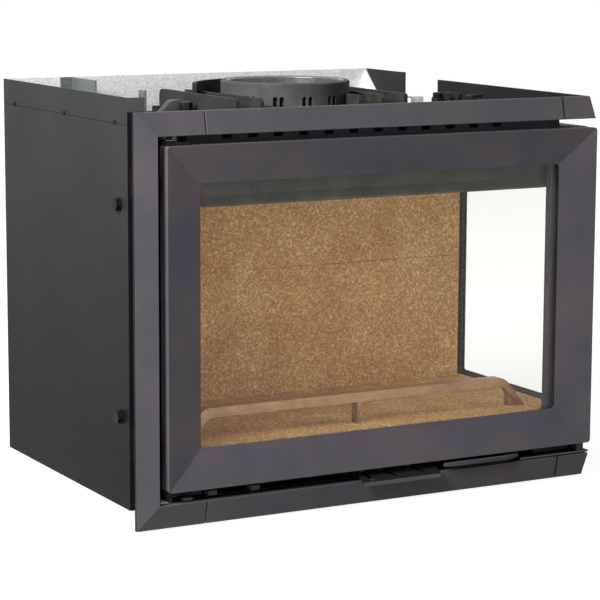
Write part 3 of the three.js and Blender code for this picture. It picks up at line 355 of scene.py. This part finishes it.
# the oxide on blackened steel hides the metal, so bolts and pins hardly reflect
black_bolt = rolled_steel("blackened_bolt_steel", "0d0d0e", "181819", 0.5, metallic=0.1, gloss=0.1)
# a film of oxide tints the light, so the retainer looks warm in front of the lining
straw_steel = rolled_steel("heat_tinted_steel", "8a6546", "b98f68", 0.42, metallic=0.5)
# a fine cut with no paint, so the bore is a bright ring in a dark top
bored_steel = rolled_steel("bored_collar_steel", "6d6f6d", "8f908e", 0.3, metallic=0.9, line_mm=0.9)
print("steels:", [m.name for m in (bare_steel, black_bolt, straw_steel, bored_steel)])

# %% [markdown]
# ### Vermiculite
# The firebox is lined with pressed vermiculite: golden mica flakes of one to three millimetres in a
# tan binder. Flakes could be scattered one by one, but there would be thousands of them. Cells of a
# Voronoi pattern, 2.4 mm wide, each take a tone of mica, and their middles stand a little higher.

# %% Vermiculite boards
MICA_FLAKE, BOARD_CLOUDS, BINDER_PITS = 2.4, 70, 1.1


def vermiculite_board():
    """Mica flakes in a tan binder, rough and without shine."""
    material, tree, spot = start_material("pressed_vermiculite")
    flakes = add_node(tree, "TexVoronoi", {"Vector": spot, "Scale": METRE / MICA_FLAKE, "Randomness": 1.0})
    mica = add_node(tree, "SeparateColor", {"Color": flakes.outputs["Color"]}).outputs["Green"]
    clouds = add_node(tree, "TexNoise", {"Vector": spot, "Scale": METRE / BOARD_CLOUDS, "Detail": 4,
                                         "Roughness": CLOUDY})
    pits = add_node(tree, "TexNoise", {"Vector": spot, "Scale": METRE / BINDER_PITS, "Detail": 3,
                                       "Roughness": CLOUDY})
    tone = add_node(tree, "ValToRGB", {"Fac": mica},
                    stops=[(0.0, "b08350"), (0.45, "cfa265"), (0.8, "dfba7f"), (1.0, "f3dcae")])
    cloud = add_node(tree, "ValToRGB", {"Fac": clouds}, stops=[(0.3, "dcc8b2"), (0.7, "ffffff")])
    board = add_node(tree, "Mix", {FACTOR: 0.8, UNDER: tone, OVER: cloud}, **SHADING)
    crests = add_node(tree, "Bump", {"Height": flakes, "Distance": 0.35 * MM, "Strength": 1.0})
    relief = add_node(tree, "Bump", {"Height": pits, "Distance": 0.15 * MM, "Strength": 1.0,
                                     "Normal": crests})
    shader = add_node(tree, "BsdfPrincipled", {"Base Color": board, "Roughness": 0.88, "Normal": relief})
    add_node(tree, "OutputMaterial", {"Surface": shader})
    return material


# flat flakes of mica differ in tone, so the boards look golden and speckled, never shiny
vermiculite = vermiculite_board()
print("boards:", vermiculite.name, "with flakes of", MICA_FLAKE, "mm")

# %% [markdown]
# ### Rope and glass
# The seals are knitted glass fibre, grey from soot: a wave pattern that runs aslant gives the knit,
# which would be thousands of threads as a mesh. A real stitch is about 2.4 mm wide. The bands are
# drawn 5.5 mm apart, coarser, so that they show. The panes are clear ceramic glass and are left
# smooth. It has an IOR near 1.54. A lower one, 1.25, mirrors less of the white room, which keeps the
# lining in view.

# %% Seals and panes
KNIT_BAND = 5.47
WAVE_RADIANS = 10 * math.sqrt(3)  # how far a diagonal wave runs over one unit across its bands


def glass_rope():
    """A grey knit without shine."""
    material, tree, spot = start_material("knitted_glass_rope")
    bands = METRE / KNIT_BAND * math.tau / WAVE_RADIANS
    knit = add_node(tree, "TexWave", {"Vector": spot, "Scale": bands, "Distortion": 3.0},
                    bands_direction="DIAGONAL").outputs["Fac"]
    tone = add_node(tree, "ValToRGB", {"Fac": knit}, stops=[(0.2, "5a5752"), (0.8, "75726c")])
    relief = add_node(tree, "Bump", {"Height": knit, "Distance": 0.4 * MM, "Strength": 1.0})
    shader = add_node(tree, "BsdfPrincipled", {"Base Color": tone, "Roughness": 0.95, "Normal": relief})
    add_node(tree, "OutputMaterial", {"Surface": shader})
    return material


def ceramic_glass():
    """Clear glass, almost without a tint."""
    material, tree, _ = start_material("clear_ceramic_glass")
    shader = add_node(tree, "BsdfPrincipled", {"Base Color": "fbfcfa", "Roughness": 0.02, "IOR": 1.25,
                                               "Transmission Weight": 1.0})
    add_node(tree, "OutputMaterial", {"Surface": shader})
    return material


# sooty fibre takes all light, so a seal is a dull line between iron and glass
seal_rope = glass_rope()
# polished on both faces, so all that is seen of a pane is a faint mirror of the room
pane_glass = ceramic_glass()
print("seal and pane:", seal_rope.name, "and", pane_glass.name)

# %% [markdown]
# ## Softened castings and sheets
# No casting has a knife edge: the sand breaks off where the mould is sharp, and paint gathers there.
# The imported solids have exact, sharp edges. They could be drawn with rounded ones, but thousands of
# faces would slow the simulation. So each visible piece is copied, its loose triangles are merged into
# faces, and a Bevel modifier rounds the edges by their real radius. The copy stands for the node, on
# the same body and in the same place.

# %% Which body each node has
BODY_OF = {node: body for body, nodes in frame["record"]["behaviour"]["bodies"].items() for node in nodes}


def only(piece):
    """Selects one object and makes it active."""
    bpy.ops.object.select_all(action="DESELECT")
    piece.select_set(True)
    bpy.context.view_layer.objects.active = piece


# %% [markdown]
# ### Lines that stay sharp
# A frame's sloped faces meet in mitres so shallow that smooth shading would blend them away, so these
# lines are marked sharp. The left panel is two sheets that overlap, with a seam under their screws:
# cutting its faces at the seam's edges gives the seam a face of its own, which gets a dark finish.

# %% Mitres and the panel's seam
MITRED = ("trim_left_frame", "trim_side_frame", "door_frame", "side_frame")
SEAM_HEIGHT = 524.0
SEAM_WIDTH = 0.9
# below this height the panel's flange gets painted shade, and above it painted light
PANEL_SHADE_HEIGHT = 541.0
LEVEL_CUTS = {"casing_left_panel": (SEAM_HEIGHT, SEAM_HEIGHT + SEAM_WIDTH, PANEL_SHADE_HEIGHT)}
EDGE_ANGLE = math.radians(24)
MITRE_ANGLES = (math.radians(1.5), EDGE_ANGLE)


def cut_level(heights):
    """Cuts the piece that is open in edit mode at some heights of the drawing."""
    for height in heights:
        bpy.ops.mesh.select_all(action="SELECT")
        bpy.ops.mesh.bisect(plane_co=place(0, 0, height), plane_no=(0, 0, 1))


def crisp_mitres(piece):
    """Keeps the shallow lines sharp where two sloped faces of a frame meet."""
    shape = bmesh.new()
    shape.from_mesh(piece.data)
    for edge in shape.edges:
        if len(edge.link_faces) == 2:
            edge.smooth = not MITRE_ANGLES[0] < edge.calc_face_angle() < MITRE_ANGLES[1]
    shape.to_mesh(piece.data)
    shape.free()


print("frames with mitres:", ", ".join(MITRED))

# %% Copy a node and round its edges
WELD = 0.01
FLAT_ANGLE = math.radians(0.5)


def soften(node, material, radius_mm):
    """A copy of a node with merged faces and rounded edges, which stands for it."""
    source = frame["nodes"][node]
    piece = source.copy()
    piece.data = source.data.copy()
    piece.name = node + "_finished"
    piece.data.name = piece.name
    bpy.context.collection.objects.link(piece)
    only(piece)
    piece.data.materials.clear()
    piece.data.materials.append(material)
    bpy.ops.object.mode_set(mode="EDIT")
    bpy.ops.mesh.select_all(action="SELECT")
    bpy.ops.mesh.customdata_custom_splitnormals_clear()
    bpy.ops.mesh.remove_doubles(threshold=WELD * MM)
    bpy.ops.mesh.dissolve_limited(angle_limit=FLAT_ANGLE)
    cut_level(LEVEL_CUTS.get(node, ()))
    bpy.ops.object.mode_set(mode="OBJECT")
    if node in MITRED:
        crisp_mitres(piece)
    bevel = piece.modifiers.new("soft_edge", "BEVEL")
    bevel.width = radius_mm * MM
    bevel.segments = 2
    bevel.limit_method = "ANGLE"
    bevel.angle_limit = EDGE_ANGLE
    bevel.use_clamp_overlap = True
    bevel.harden_normals = True
    bpy.ops.object.shade_smooth()
    bpy.ops.object.modifier_apply(modifier="soft_edge")
    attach(piece, BODY_OF[node])
    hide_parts(node)
    return piece


# %% Round the edges of all that is seen
# for each finish, the radius of its edges in millimetres and its pieces
SOFTENED = {
    trim_iron: (0.9, ["trim_left_frame", "trim_top_bar", "trim_bottom_bar", "trim_side_frame", "front_sill",
                      "door_rest_block_1", "door_rest_block_2"]),
    door_iron: (1.1, ["door_frame", "side_frame", "front_plate"]),
    olive_iron: (0.8, ["body_top"]),
    deflector_iron: (0.8, ["airwash_deflector"]),
    collar_iron: (0.8, ["flue_collar"]),
    # soot and painted shade: the hinge brackets and deck clamps are dark
    soot_and_shade_iron: (0.7, ["upper_hinge_bracket", "lower_hinge_bracket", "deck_clamp_left",
                        "deck_clamp_right"]),
    # painted shade: the air slide under the door is black but for its lip
    shade_and_seam_black: (0.6, ["air_slide"]),
    coated_sheet: (0.5, ["casing_left_panel", "casing_rear_right_panel", "side_closing_panel"]),
    grip_paint: (0.6, ["door_handle"]),
    straw_steel: (0.8, ["log_retainer"]),
    vermiculite: (0.7, ["firebox_floor", "back_lining_lower", "back_lining_upper", "left_lining",
                        "baffle_plate"]),
}
finished = {}
for material, (radius, nodes) in SOFTENED.items():
    for node in nodes:
        finished[node] = soften(node, material, radius)
print(len(finished), "pieces softened")

# %% [markdown]
# ### Pieces that keep their own mesh
# What is hidden, flat or tiny needs no rounding: hidden castings and sheets, gaskets, panes, pins and
# brackets. A copy would only make the file bigger, so these nodes stay as they are, with a finish.

# %% Finishes of the other nodes
KEPT = {
    olive_iron: ["body_base", "body_left_wall", "body_rear_wall"],
    galvanised: ["casing_back_panel", "casing_base", "base_rail_left", "base_rail_right"],
    clip_zinc: ["casing_front_clip", "rear_spacer_bracket"],
    bare_steel: ["door_glass_strip_upper", "door_glass_strip_lower"],
    black_bolt: ["air_slide_guide", "casing_bolt_upper", "casing_bolt_lower", "latch_keeper",
                 "upper_hinge_pin", "lower_hinge_pin", "hinge_washer", "handle_pin"]
    + [n for n in frame["nodes"] if n.startswith("trim_bracket")],
    seal_rope: ["door_glass_gasket", "door_seal_rope", "side_glass_gasket"],
    pane_glass: ["door_glass", "side_glass"],
}
for material, nodes in KEPT.items():
    for node in nodes:
        slots = frame["nodes"][node].data.materials
        slots.clear()
        slots.append(material)
covered = set(finished) | {node for nodes in KEPT.values() for node in nodes}
print("nodes without a finish:", sorted(set(frame["nodes"]) - covered))

# %% [markdown]
# ### Faces with a finish of their own
# Paint and machining don't end at a piece's edge, and painted shade doesn't either: the collar is bored
# bright inside, and painted shade makes the trim black where it meets the casing, and darkens the sill
# and air slide under the door, the door's right reveal, the side frames' left-turned faces and the
# panel's flange below the trim, whose flange above gets painted light. Such a face could be a piece of
# its own, but on the real thing it isn't. So faces are picked by their place and the way they face, in
# the drawing's millimetres, and get a second material on the same piece.

# %% How faces are picked
SQUARELY, PARTLY = 0.9, 0.3  # how far a face's normal has to lie along a direction


def drawn(point):
    """A point of the scene as a point of the drawing, in millimetres."""
    return (point - CORNER) / MM


def refinish(node, material, wanted):
    """Gives another finish to the faces whose middle and direction pass a test."""
    piece = finished[node]
    piece.data.materials.append(material)
    faces = [f for f in piece.data.polygons if wanted(drawn(f.center), f.normal)]
    for face in faces:
        face.material_index = len(piece.data.materials) - 1
    print(node, "has", len(faces), "faces of", material.name)


# %% Second finishes
TRIM_LEFT_FACE = 5.0
SILL_SHADE_END = 590.0
WINDOW_MIDDLE = 600.0
FLUE_CENTRE = Vector((338, 228))
BORE_REACH = 86.0

# painted light: above the trim's bar the flange gets the lighter grey
refinish("casing_left_panel", lit_flange_paint,
         lambda at, way: way.y < -SQUARELY and at.z > PANEL_SHADE_HEIGHT)
# painted shade: below the trim's bar the flange is black
refinish("casing_left_panel", shade_and_seam_black,
         lambda at, way: way.y < -SQUARELY and at.z < PANEL_SHADE_HEIGHT)
refinish("casing_left_panel", shade_and_seam_black,
         lambda at, way: way.x < -SQUARELY and 0 < at.z - SEAM_HEIGHT < SEAM_WIDTH)
# painted shade: the trim's left side by the casing and the left-turned faces of its side frame are dark
refinish("trim_left_frame", soot_and_shade_iron, lambda at, way: way.x < -SQUARELY and at.x < TRIM_LEFT_FACE)
refinish("trim_side_frame", soot_and_shade_iron, lambda at, way: way.x < -PARTLY)
# painted shade: the sill is black where it lies under the door
refinish("front_sill", shade_and_seam_black, lambda at, way: at.x < SILL_SHADE_END)
# the air slide's front lip keeps the trim paint, out of its painted shade
refinish("air_slide", trim_iron, lambda at, way: way.y < -SQUARELY)
# painted shade: the side frame's left-turned faces and the door's right reveal are dark
refinish("side_frame", soot_and_shade_iron, lambda at, way: way.x < -PARTLY)
refinish("door_frame", shade_and_seam_black, lambda at, way: way.x < -SQUARELY and at.x > WINDOW_MIDDLE)
refinish("flue_collar", bored_steel,
         lambda at, way: (at.xy - FLUE_CENTRE).length < BORE_REACH
         and way.xy.dot(at.xy - FLUE_CENTRE) < -PARTLY)

# %% [markdown]
# ## Small fittings
# Bolts, screws and pressed straps are too small for the construction, yet they are what the eye
# finds on top of the insert and under the door. Here faces of a fitting are picked by the same test
# of place and direction, and every fitting is rounded and given its finish, body and slot alike.

# %% Shaping and finishing a fitting
FITTING_EDGE, FITTING_SHADE = math.radians(28), math.radians(35)


def edit_faces(piece, wanted):
    """Opens a piece in edit mode with only those faces selected that pass a test."""
    only(piece)
    bpy.ops.object.mode_set(mode="EDIT")
    bpy.ops.mesh.select_mode(type="FACE")
    bpy.ops.mesh.select_all(action="DESELECT")
    bpy.ops.object.mode_set(mode="OBJECT")
    for face in piece.data.polygons:
        face.select = wanted(drawn(face.center), face.normal)
    bpy.ops.object.mode_set(mode="EDIT")


def carry(piece, name, carrier):
    """Names a fitting and lets it ride with the node that carries it."""
    piece.name = name
    piece.data.name = name
    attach(piece, BODY_OF[carrier])
    print(name, "has", len(piece.data.polygons), "faces and rides with", carrier)
    return piece


def fit_out(piece, name, material, carrier, radius_mm=0.35):
    """Rounds a shaped fitting's edges, gives it its finish and sets it on its carrier."""
    piece.data.materials.clear()
    piece.data.materials.append(material)
    only(piece)
    bevel = piece.modifiers.new("broken_edge", "BEVEL")
    bevel.width = radius_mm * MM
    bevel.segments = 2
    bevel.limit_method = "ANGLE"
    bevel.angle_limit = FITTING_EDGE
    bpy.ops.object.modifier_apply(modifier="broken_edge")
    bpy.ops.object.shade_smooth_by_angle(angle=FITTING_SHADE)
    return carry(piece, name, carrier)


# %% [markdown]
# ### Bolts and screws
# A bolt's head is forged from a bar with six flats, and its crown is turned to a chamfer. A mesh from
# a fastener library would have a thread that nobody sees. Here a cylinder with six sides has its outer
# face inset and lifted, which leaves the crown, and a round washer is joined under it. A screw has
# sixteen sides and a sunk socket instead.

# %% A headed bolt
CROWN_INSET, CROWN_LIFT = 0.13, 0.07  # of the width across the flats
SOCKET_RIM, WASHER_WIDTH, WASHER_SIDES = 0.12, 1.3, 24


def turned_blank(at, facing, lift_mm, sides, across_mm, high_mm):
    """A cylinder that stands on a face at a point, lifted off it, with its place in its mesh."""
    bpy.ops.object.select_all(action="DESELECT")
    bpy.ops.mesh.primitive_cylinder_add(
        vertices=sides, radius=across_mm / 2 / math.cos(math.pi / sides) * MM, depth=high_mm * MM,
        location=place(*at) + facing * (lift_mm + high_mm / 2) * MM,
        rotation=facing.to_track_quat("Z", "Y").to_euler())
    blank = bpy.context.active_object
    bpy.ops.object.transform_apply(location=True, rotation=True, scale=True)
    return blank


def bolt(name, at, facing, across_mm, high_mm, material, carrier, sides=6, washer_mm=1.6, socket_mm=0.0):
    """A headed bolt with a chamfered crown, a washer and, for a screw, a sunk socket."""
    facing = Vector(facing)
    head = turned_blank(at, facing, washer_mm, sides, across_mm, high_mm)
    edit_faces(head, lambda _, way: way.dot(facing) > SQUARELY)
    bpy.ops.mesh.inset(thickness=CROWN_INSET * across_mm * MM, depth=0)
    bpy.ops.transform.translate(value=facing * CROWN_LIFT * across_mm * MM)
    if socket_mm:
        bpy.ops.mesh.inset(thickness=SOCKET_RIM * across_mm * MM, depth=0)
        bpy.ops.mesh.extrude_region_move(TRANSFORM_OT_translate={"value": -facing * socket_mm * MM})
    bpy.ops.object.mode_set(mode="OBJECT")
    if washer_mm:
        # the new washer is selected, and with the head selected too the two can be joined
        turned_blank(at, facing, 0, WASHER_SIDES, WASHER_WIDTH * across_mm, washer_mm)
        head.select_set(True)
        bpy.context.view_layer.objects.active = head
        bpy.ops.object.join()
    return fit_out(head, name, material, carrier)


# %% [markdown]
# The three screws of the left panel are alike, so one is modelled and the others are copies of it,
# each with its own mesh, because the place of a finished piece lies in its mesh.

# %% The panel's screws
PANEL_SCREWS = {"panel_screw_front": 63, "panel_screw_middle": 229, "panel_screw_rear": 408}
SCREW_FACE, SCREW_HEIGHT = 2, 526
LEFT, UP = (-1, 0, 0), (0, 0, 1)


def copied(piece, name, shift_mm, carrier):
    """A copy of a fitting with its own mesh, moved in it."""
    only(piece)
    bpy.ops.object.duplicate(linked=False)
    twin = bpy.context.active_object
    edit_faces(twin, lambda *_: True)
    bpy.ops.transform.translate(value=Vector(shift_mm) * MM)
    bpy.ops.object.mode_set(mode="OBJECT")
    return carry(twin, name, carrier)


first_name, *other_names = PANEL_SCREWS
first_depth = PANEL_SCREWS[first_name]
panel_screw = bolt(first_name, (SCREW_FACE, first_depth, SCREW_HEIGHT), LEFT, 6, 1.6, soot_and_shade_iron,
                   "casing_left_panel", sides=16, washer_mm=0, socket_mm=0.8)
for name in other_names:
    copied(panel_screw, name, (0, PANEL_SCREWS[name] - first_depth, 0), "casing_left_panel")

# %% Bolts on the deck
DECK_TOP = 512
bolt("left_clamp_bolt", (187, 236, DECK_TOP), UP, 16, 20, black_bolt, "body_top")
bolt("right_clamp_nut", (612, 262, DECK_TOP + 13), UP, 12, 6, black_bolt, "deck_clamp_right")
bolt("right_deck_screw", (651, 262, DECK_TOP), UP, 8, 9, bare_steel, "body_top", sides=16, socket_mm=1.2)

# %% [markdown]
# ### Pressed straps
# A strap or an angle is pressed from strip, so its outline is the same all along. It could be bent
# from a plate by rotating its ends. It is quicker and exact to draw the outline once as a flat face
# and to extrude it by the strap's width.

# %% Pressing a strap
def pressed(name, outline, along_mm, material, carrier, radius_mm=0.5):
    """A flat outline of drawing points, extruded by its width."""
    bpy.ops.object.select_all(action="DESELECT")
    # the circle may have any radius, because its corners go to the outline's
    bpy.ops.mesh.primitive_circle_add(vertices=len(outline), radius=10 * MM, fill_type="NGON")
    piece = bpy.context.active_object
    bpy.ops.object.transform_apply(location=True, rotation=True, scale=True)
    for corner, point in zip(piece.data.vertices, outline):
        corner.co = place(*point)
    edit_faces(piece, lambda *_: True)
    bpy.ops.mesh.extrude_region_move(TRANSFORM_OT_translate={"value": Vector(along_mm) * MM})
    bpy.ops.mesh.select_all(action="SELECT")
    bpy.ops.mesh.normals_make_consistent(inside=False)
    bpy.ops.object.mode_set(mode="OBJECT")
    return fit_out(piece, name, material, carrier, radius_mm)


def across(y, base, points):
    """An outline that stands across the insert: x and the height over a base, at one depth."""
    return [(x, y, base + rise) for x, rise in points]


def lengthwise(x, base, points):
    """An outline that stands from front to back: y and the height over a base, at one x."""
    return [(x, y, base + rise) for y, rise in points]


# %% Straps and brackets on the deck
CLAMP_STRAP = [(148, 0), (188, 0), (188, 22), (184, 24.5), (174, 24.5), (168, 22), (160, 14), (148, 3)]
DECK_BRACKET = [(636, 0), (657, 0), (657, 3), (646, 3), (646, 16), (657, 16), (657, 20), (640, 20),
                (636, 18)]
CLAMP_PLATE = [(620, 4), (623, 4), (623, 19), (621.5, 21), (620, 19)]
pressed("left_clamp_strap", across(246, DECK_TOP, CLAMP_STRAP), (0, 16, 0), grip_paint, "body_top")
pressed("right_deck_bracket", across(208, DECK_TOP, DECK_BRACKET), (0, 16, 0), soot_and_shade_iron, "body_top")
pressed("right_clamp_plate", across(242, DECK_TOP, CLAMP_PLATE), (0, 26, 0), soot_and_shade_iron,
        "deck_clamp_right", 0.3)

# %% [markdown]
# Three more sit lower: a strip that closes the right end of the sill, a small block at the lower
# hinge, and an angle on the closing panel behind the side glass. Each could be cut from a block, but
# they are as even along their length as the straps, so they are pressed in the same way.

# %% Sill strip, panel angle and hinge block
SILL_STRIP_FOOT, SIDE_ANGLE_FOOT, HINGE_BLOCK_FOOT = 30, 482, 34
SILL_STRIP = [(687, 0), (704, 0), (704, 17.9), (702, 17.9), (702, 2), (687, 2)]
SIDE_ANGLE = [(354.5, 0), (356.5, 0), (356.5, 36.5), (368, 36.5), (368, 38.5), (354.5, 38.5)]
HINGE_BLOCK = [(-2, 1), (-1, 0), (8, 0), (8, 4), (-1, 4), (-2, 3)]
# painted shade: the sill strip gets the dark paint
pressed("side_sill_strip", across(27, SILL_STRIP_FOOT, SILL_STRIP), (0, 322, 0), soot_and_shade_iron, "front_sill")
pressed("closing_panel_angle", lengthwise(624, SIDE_ANGLE_FOOT, SIDE_ANGLE), (21, 0, 0), galvanised,
        "side_closing_panel", 0.3)
pressed("hinge_foot_block", lengthwise(67, HINGE_BLOCK_FOOT, HINGE_BLOCK), (13, 0, 0), door_iron,
        "lower_hinge_bracket")

# %% [markdown]
# ## Floor, light and background
# A catalogue picture is taken on white paper. White could come from more light, but that would wash
# out the insert. So a pale floor runs far behind it and shows as white only to the rays that look at
# it: the camera's own, those through the glass and those off metal. It still takes the shadow.

# %% Rays that see the background
def looking_rays(tree):
    """1 for a camera, transmission or glossy ray, and 0 for light on its way to a surface."""
    rays = add_node(tree, "LightPath").outputs
    seen = add_node(tree, "Math", {0: rays["Is Camera Ray"], 1: rays["Is Transmission Ray"]},
                    operation="MAXIMUM")
    return add_node(tree, "Math", {0: seen, 1: rays["Is Glossy Ray"]}, operation="MAXIMUM")


# %% Floor
FLOOR_HALF = 60.0
FLOOR_BELOW = 0.0005  # clear of the rails' undersides, so that the two faces don't flicker
FLOOR_GLOW = 0.86


def floor_material():
    """Matt grey paper that looks white, with a soft grey shadow."""
    material, tree, _ = start_material("pale_studio_floor")
    glow = add_node(tree, "Math", {0: looking_rays(tree), 1: FLOOR_GLOW}, operation="MULTIPLY")
    shader = add_node(tree, "BsdfPrincipled", {"Base Color": "898989", "Roughness": 0.9,
                                               "Emission Color": "ffffff", "Emission Strength": glow})
    add_node(tree, "OutputMaterial", {"Surface": shader})
    return material


bpy.ops.object.select_all(action="DESELECT")
bpy.ops.mesh.primitive_plane_add(size=2 * FLOOR_HALF, location=(0, 0, -FLOOR_BELOW))
floor = bpy.context.active_object
floor.name = "studio_floor"
floor.data.materials.append(floor_material())
print("floor:", 2 * FLOOR_HALF, "metres wide")

# %% The sky
SKY_LIGHT, SKY_SEEN = 0.24, 1.0
world = bpy.data.worlds.new("studio")
world.use_nodes = True
bpy.context.scene.world = world
world_tree = world.node_tree
world_tree.nodes.clear()
level = add_node(world_tree, "MapRange", {"Value": looking_rays(world_tree), "To Min": SKY_LIGHT,
                                          "To Max": SKY_SEEN})
sky = add_node(world_tree, "Background", {"Color": "ffffff", "Strength": level})
add_node(world_tree, "OutputWorld", {"Surface": sky})
print("sky lights at", SKY_LIGHT, "and is seen at", SKY_SEEN)

# %% [markdown]
# One big soft box from the upper left shapes the insert: it brightens the slopes of the trim and
# leaves the gaps dark. A small hard lamp could do that too, but it would print sharp shadows on the
# paper. Two weak boxes keep the right side and the back from going flat.

# %% Lamps
BOX_SIZE = 1.6
AIM = (0.0, 0.0, 0.28)


def soft_box(name, location, power):
    """A square lamp that faces the insert's middle."""
    data = bpy.data.lights.new(name, "AREA")
    data.shape = "SQUARE"
    data.size = BOX_SIZE
    data.energy = power
    lamp = bpy.data.objects.new(name, data)
    lamp.location = location
    lamp.rotation_euler = (Vector(AIM) - Vector(location)).to_track_quat("-Z", "Y").to_euler()
    bpy.context.collection.objects.link(lamp)
    print(name, "gives", power, "watts")


soft_box("key_upper_left", (-2.65, -1.09, 2.14), 285)
soft_box("fill_right", (2.6, -1.6, 1.0), 5)
soft_box("back_top", (0.8, 2.6, 2.2), 15)

# %% [markdown]
# ## View
# The view transform is plain, so that a colour shows as it is written.

# %% View settings
bpy.context.scene.view_settings.view_transform = "Standard"
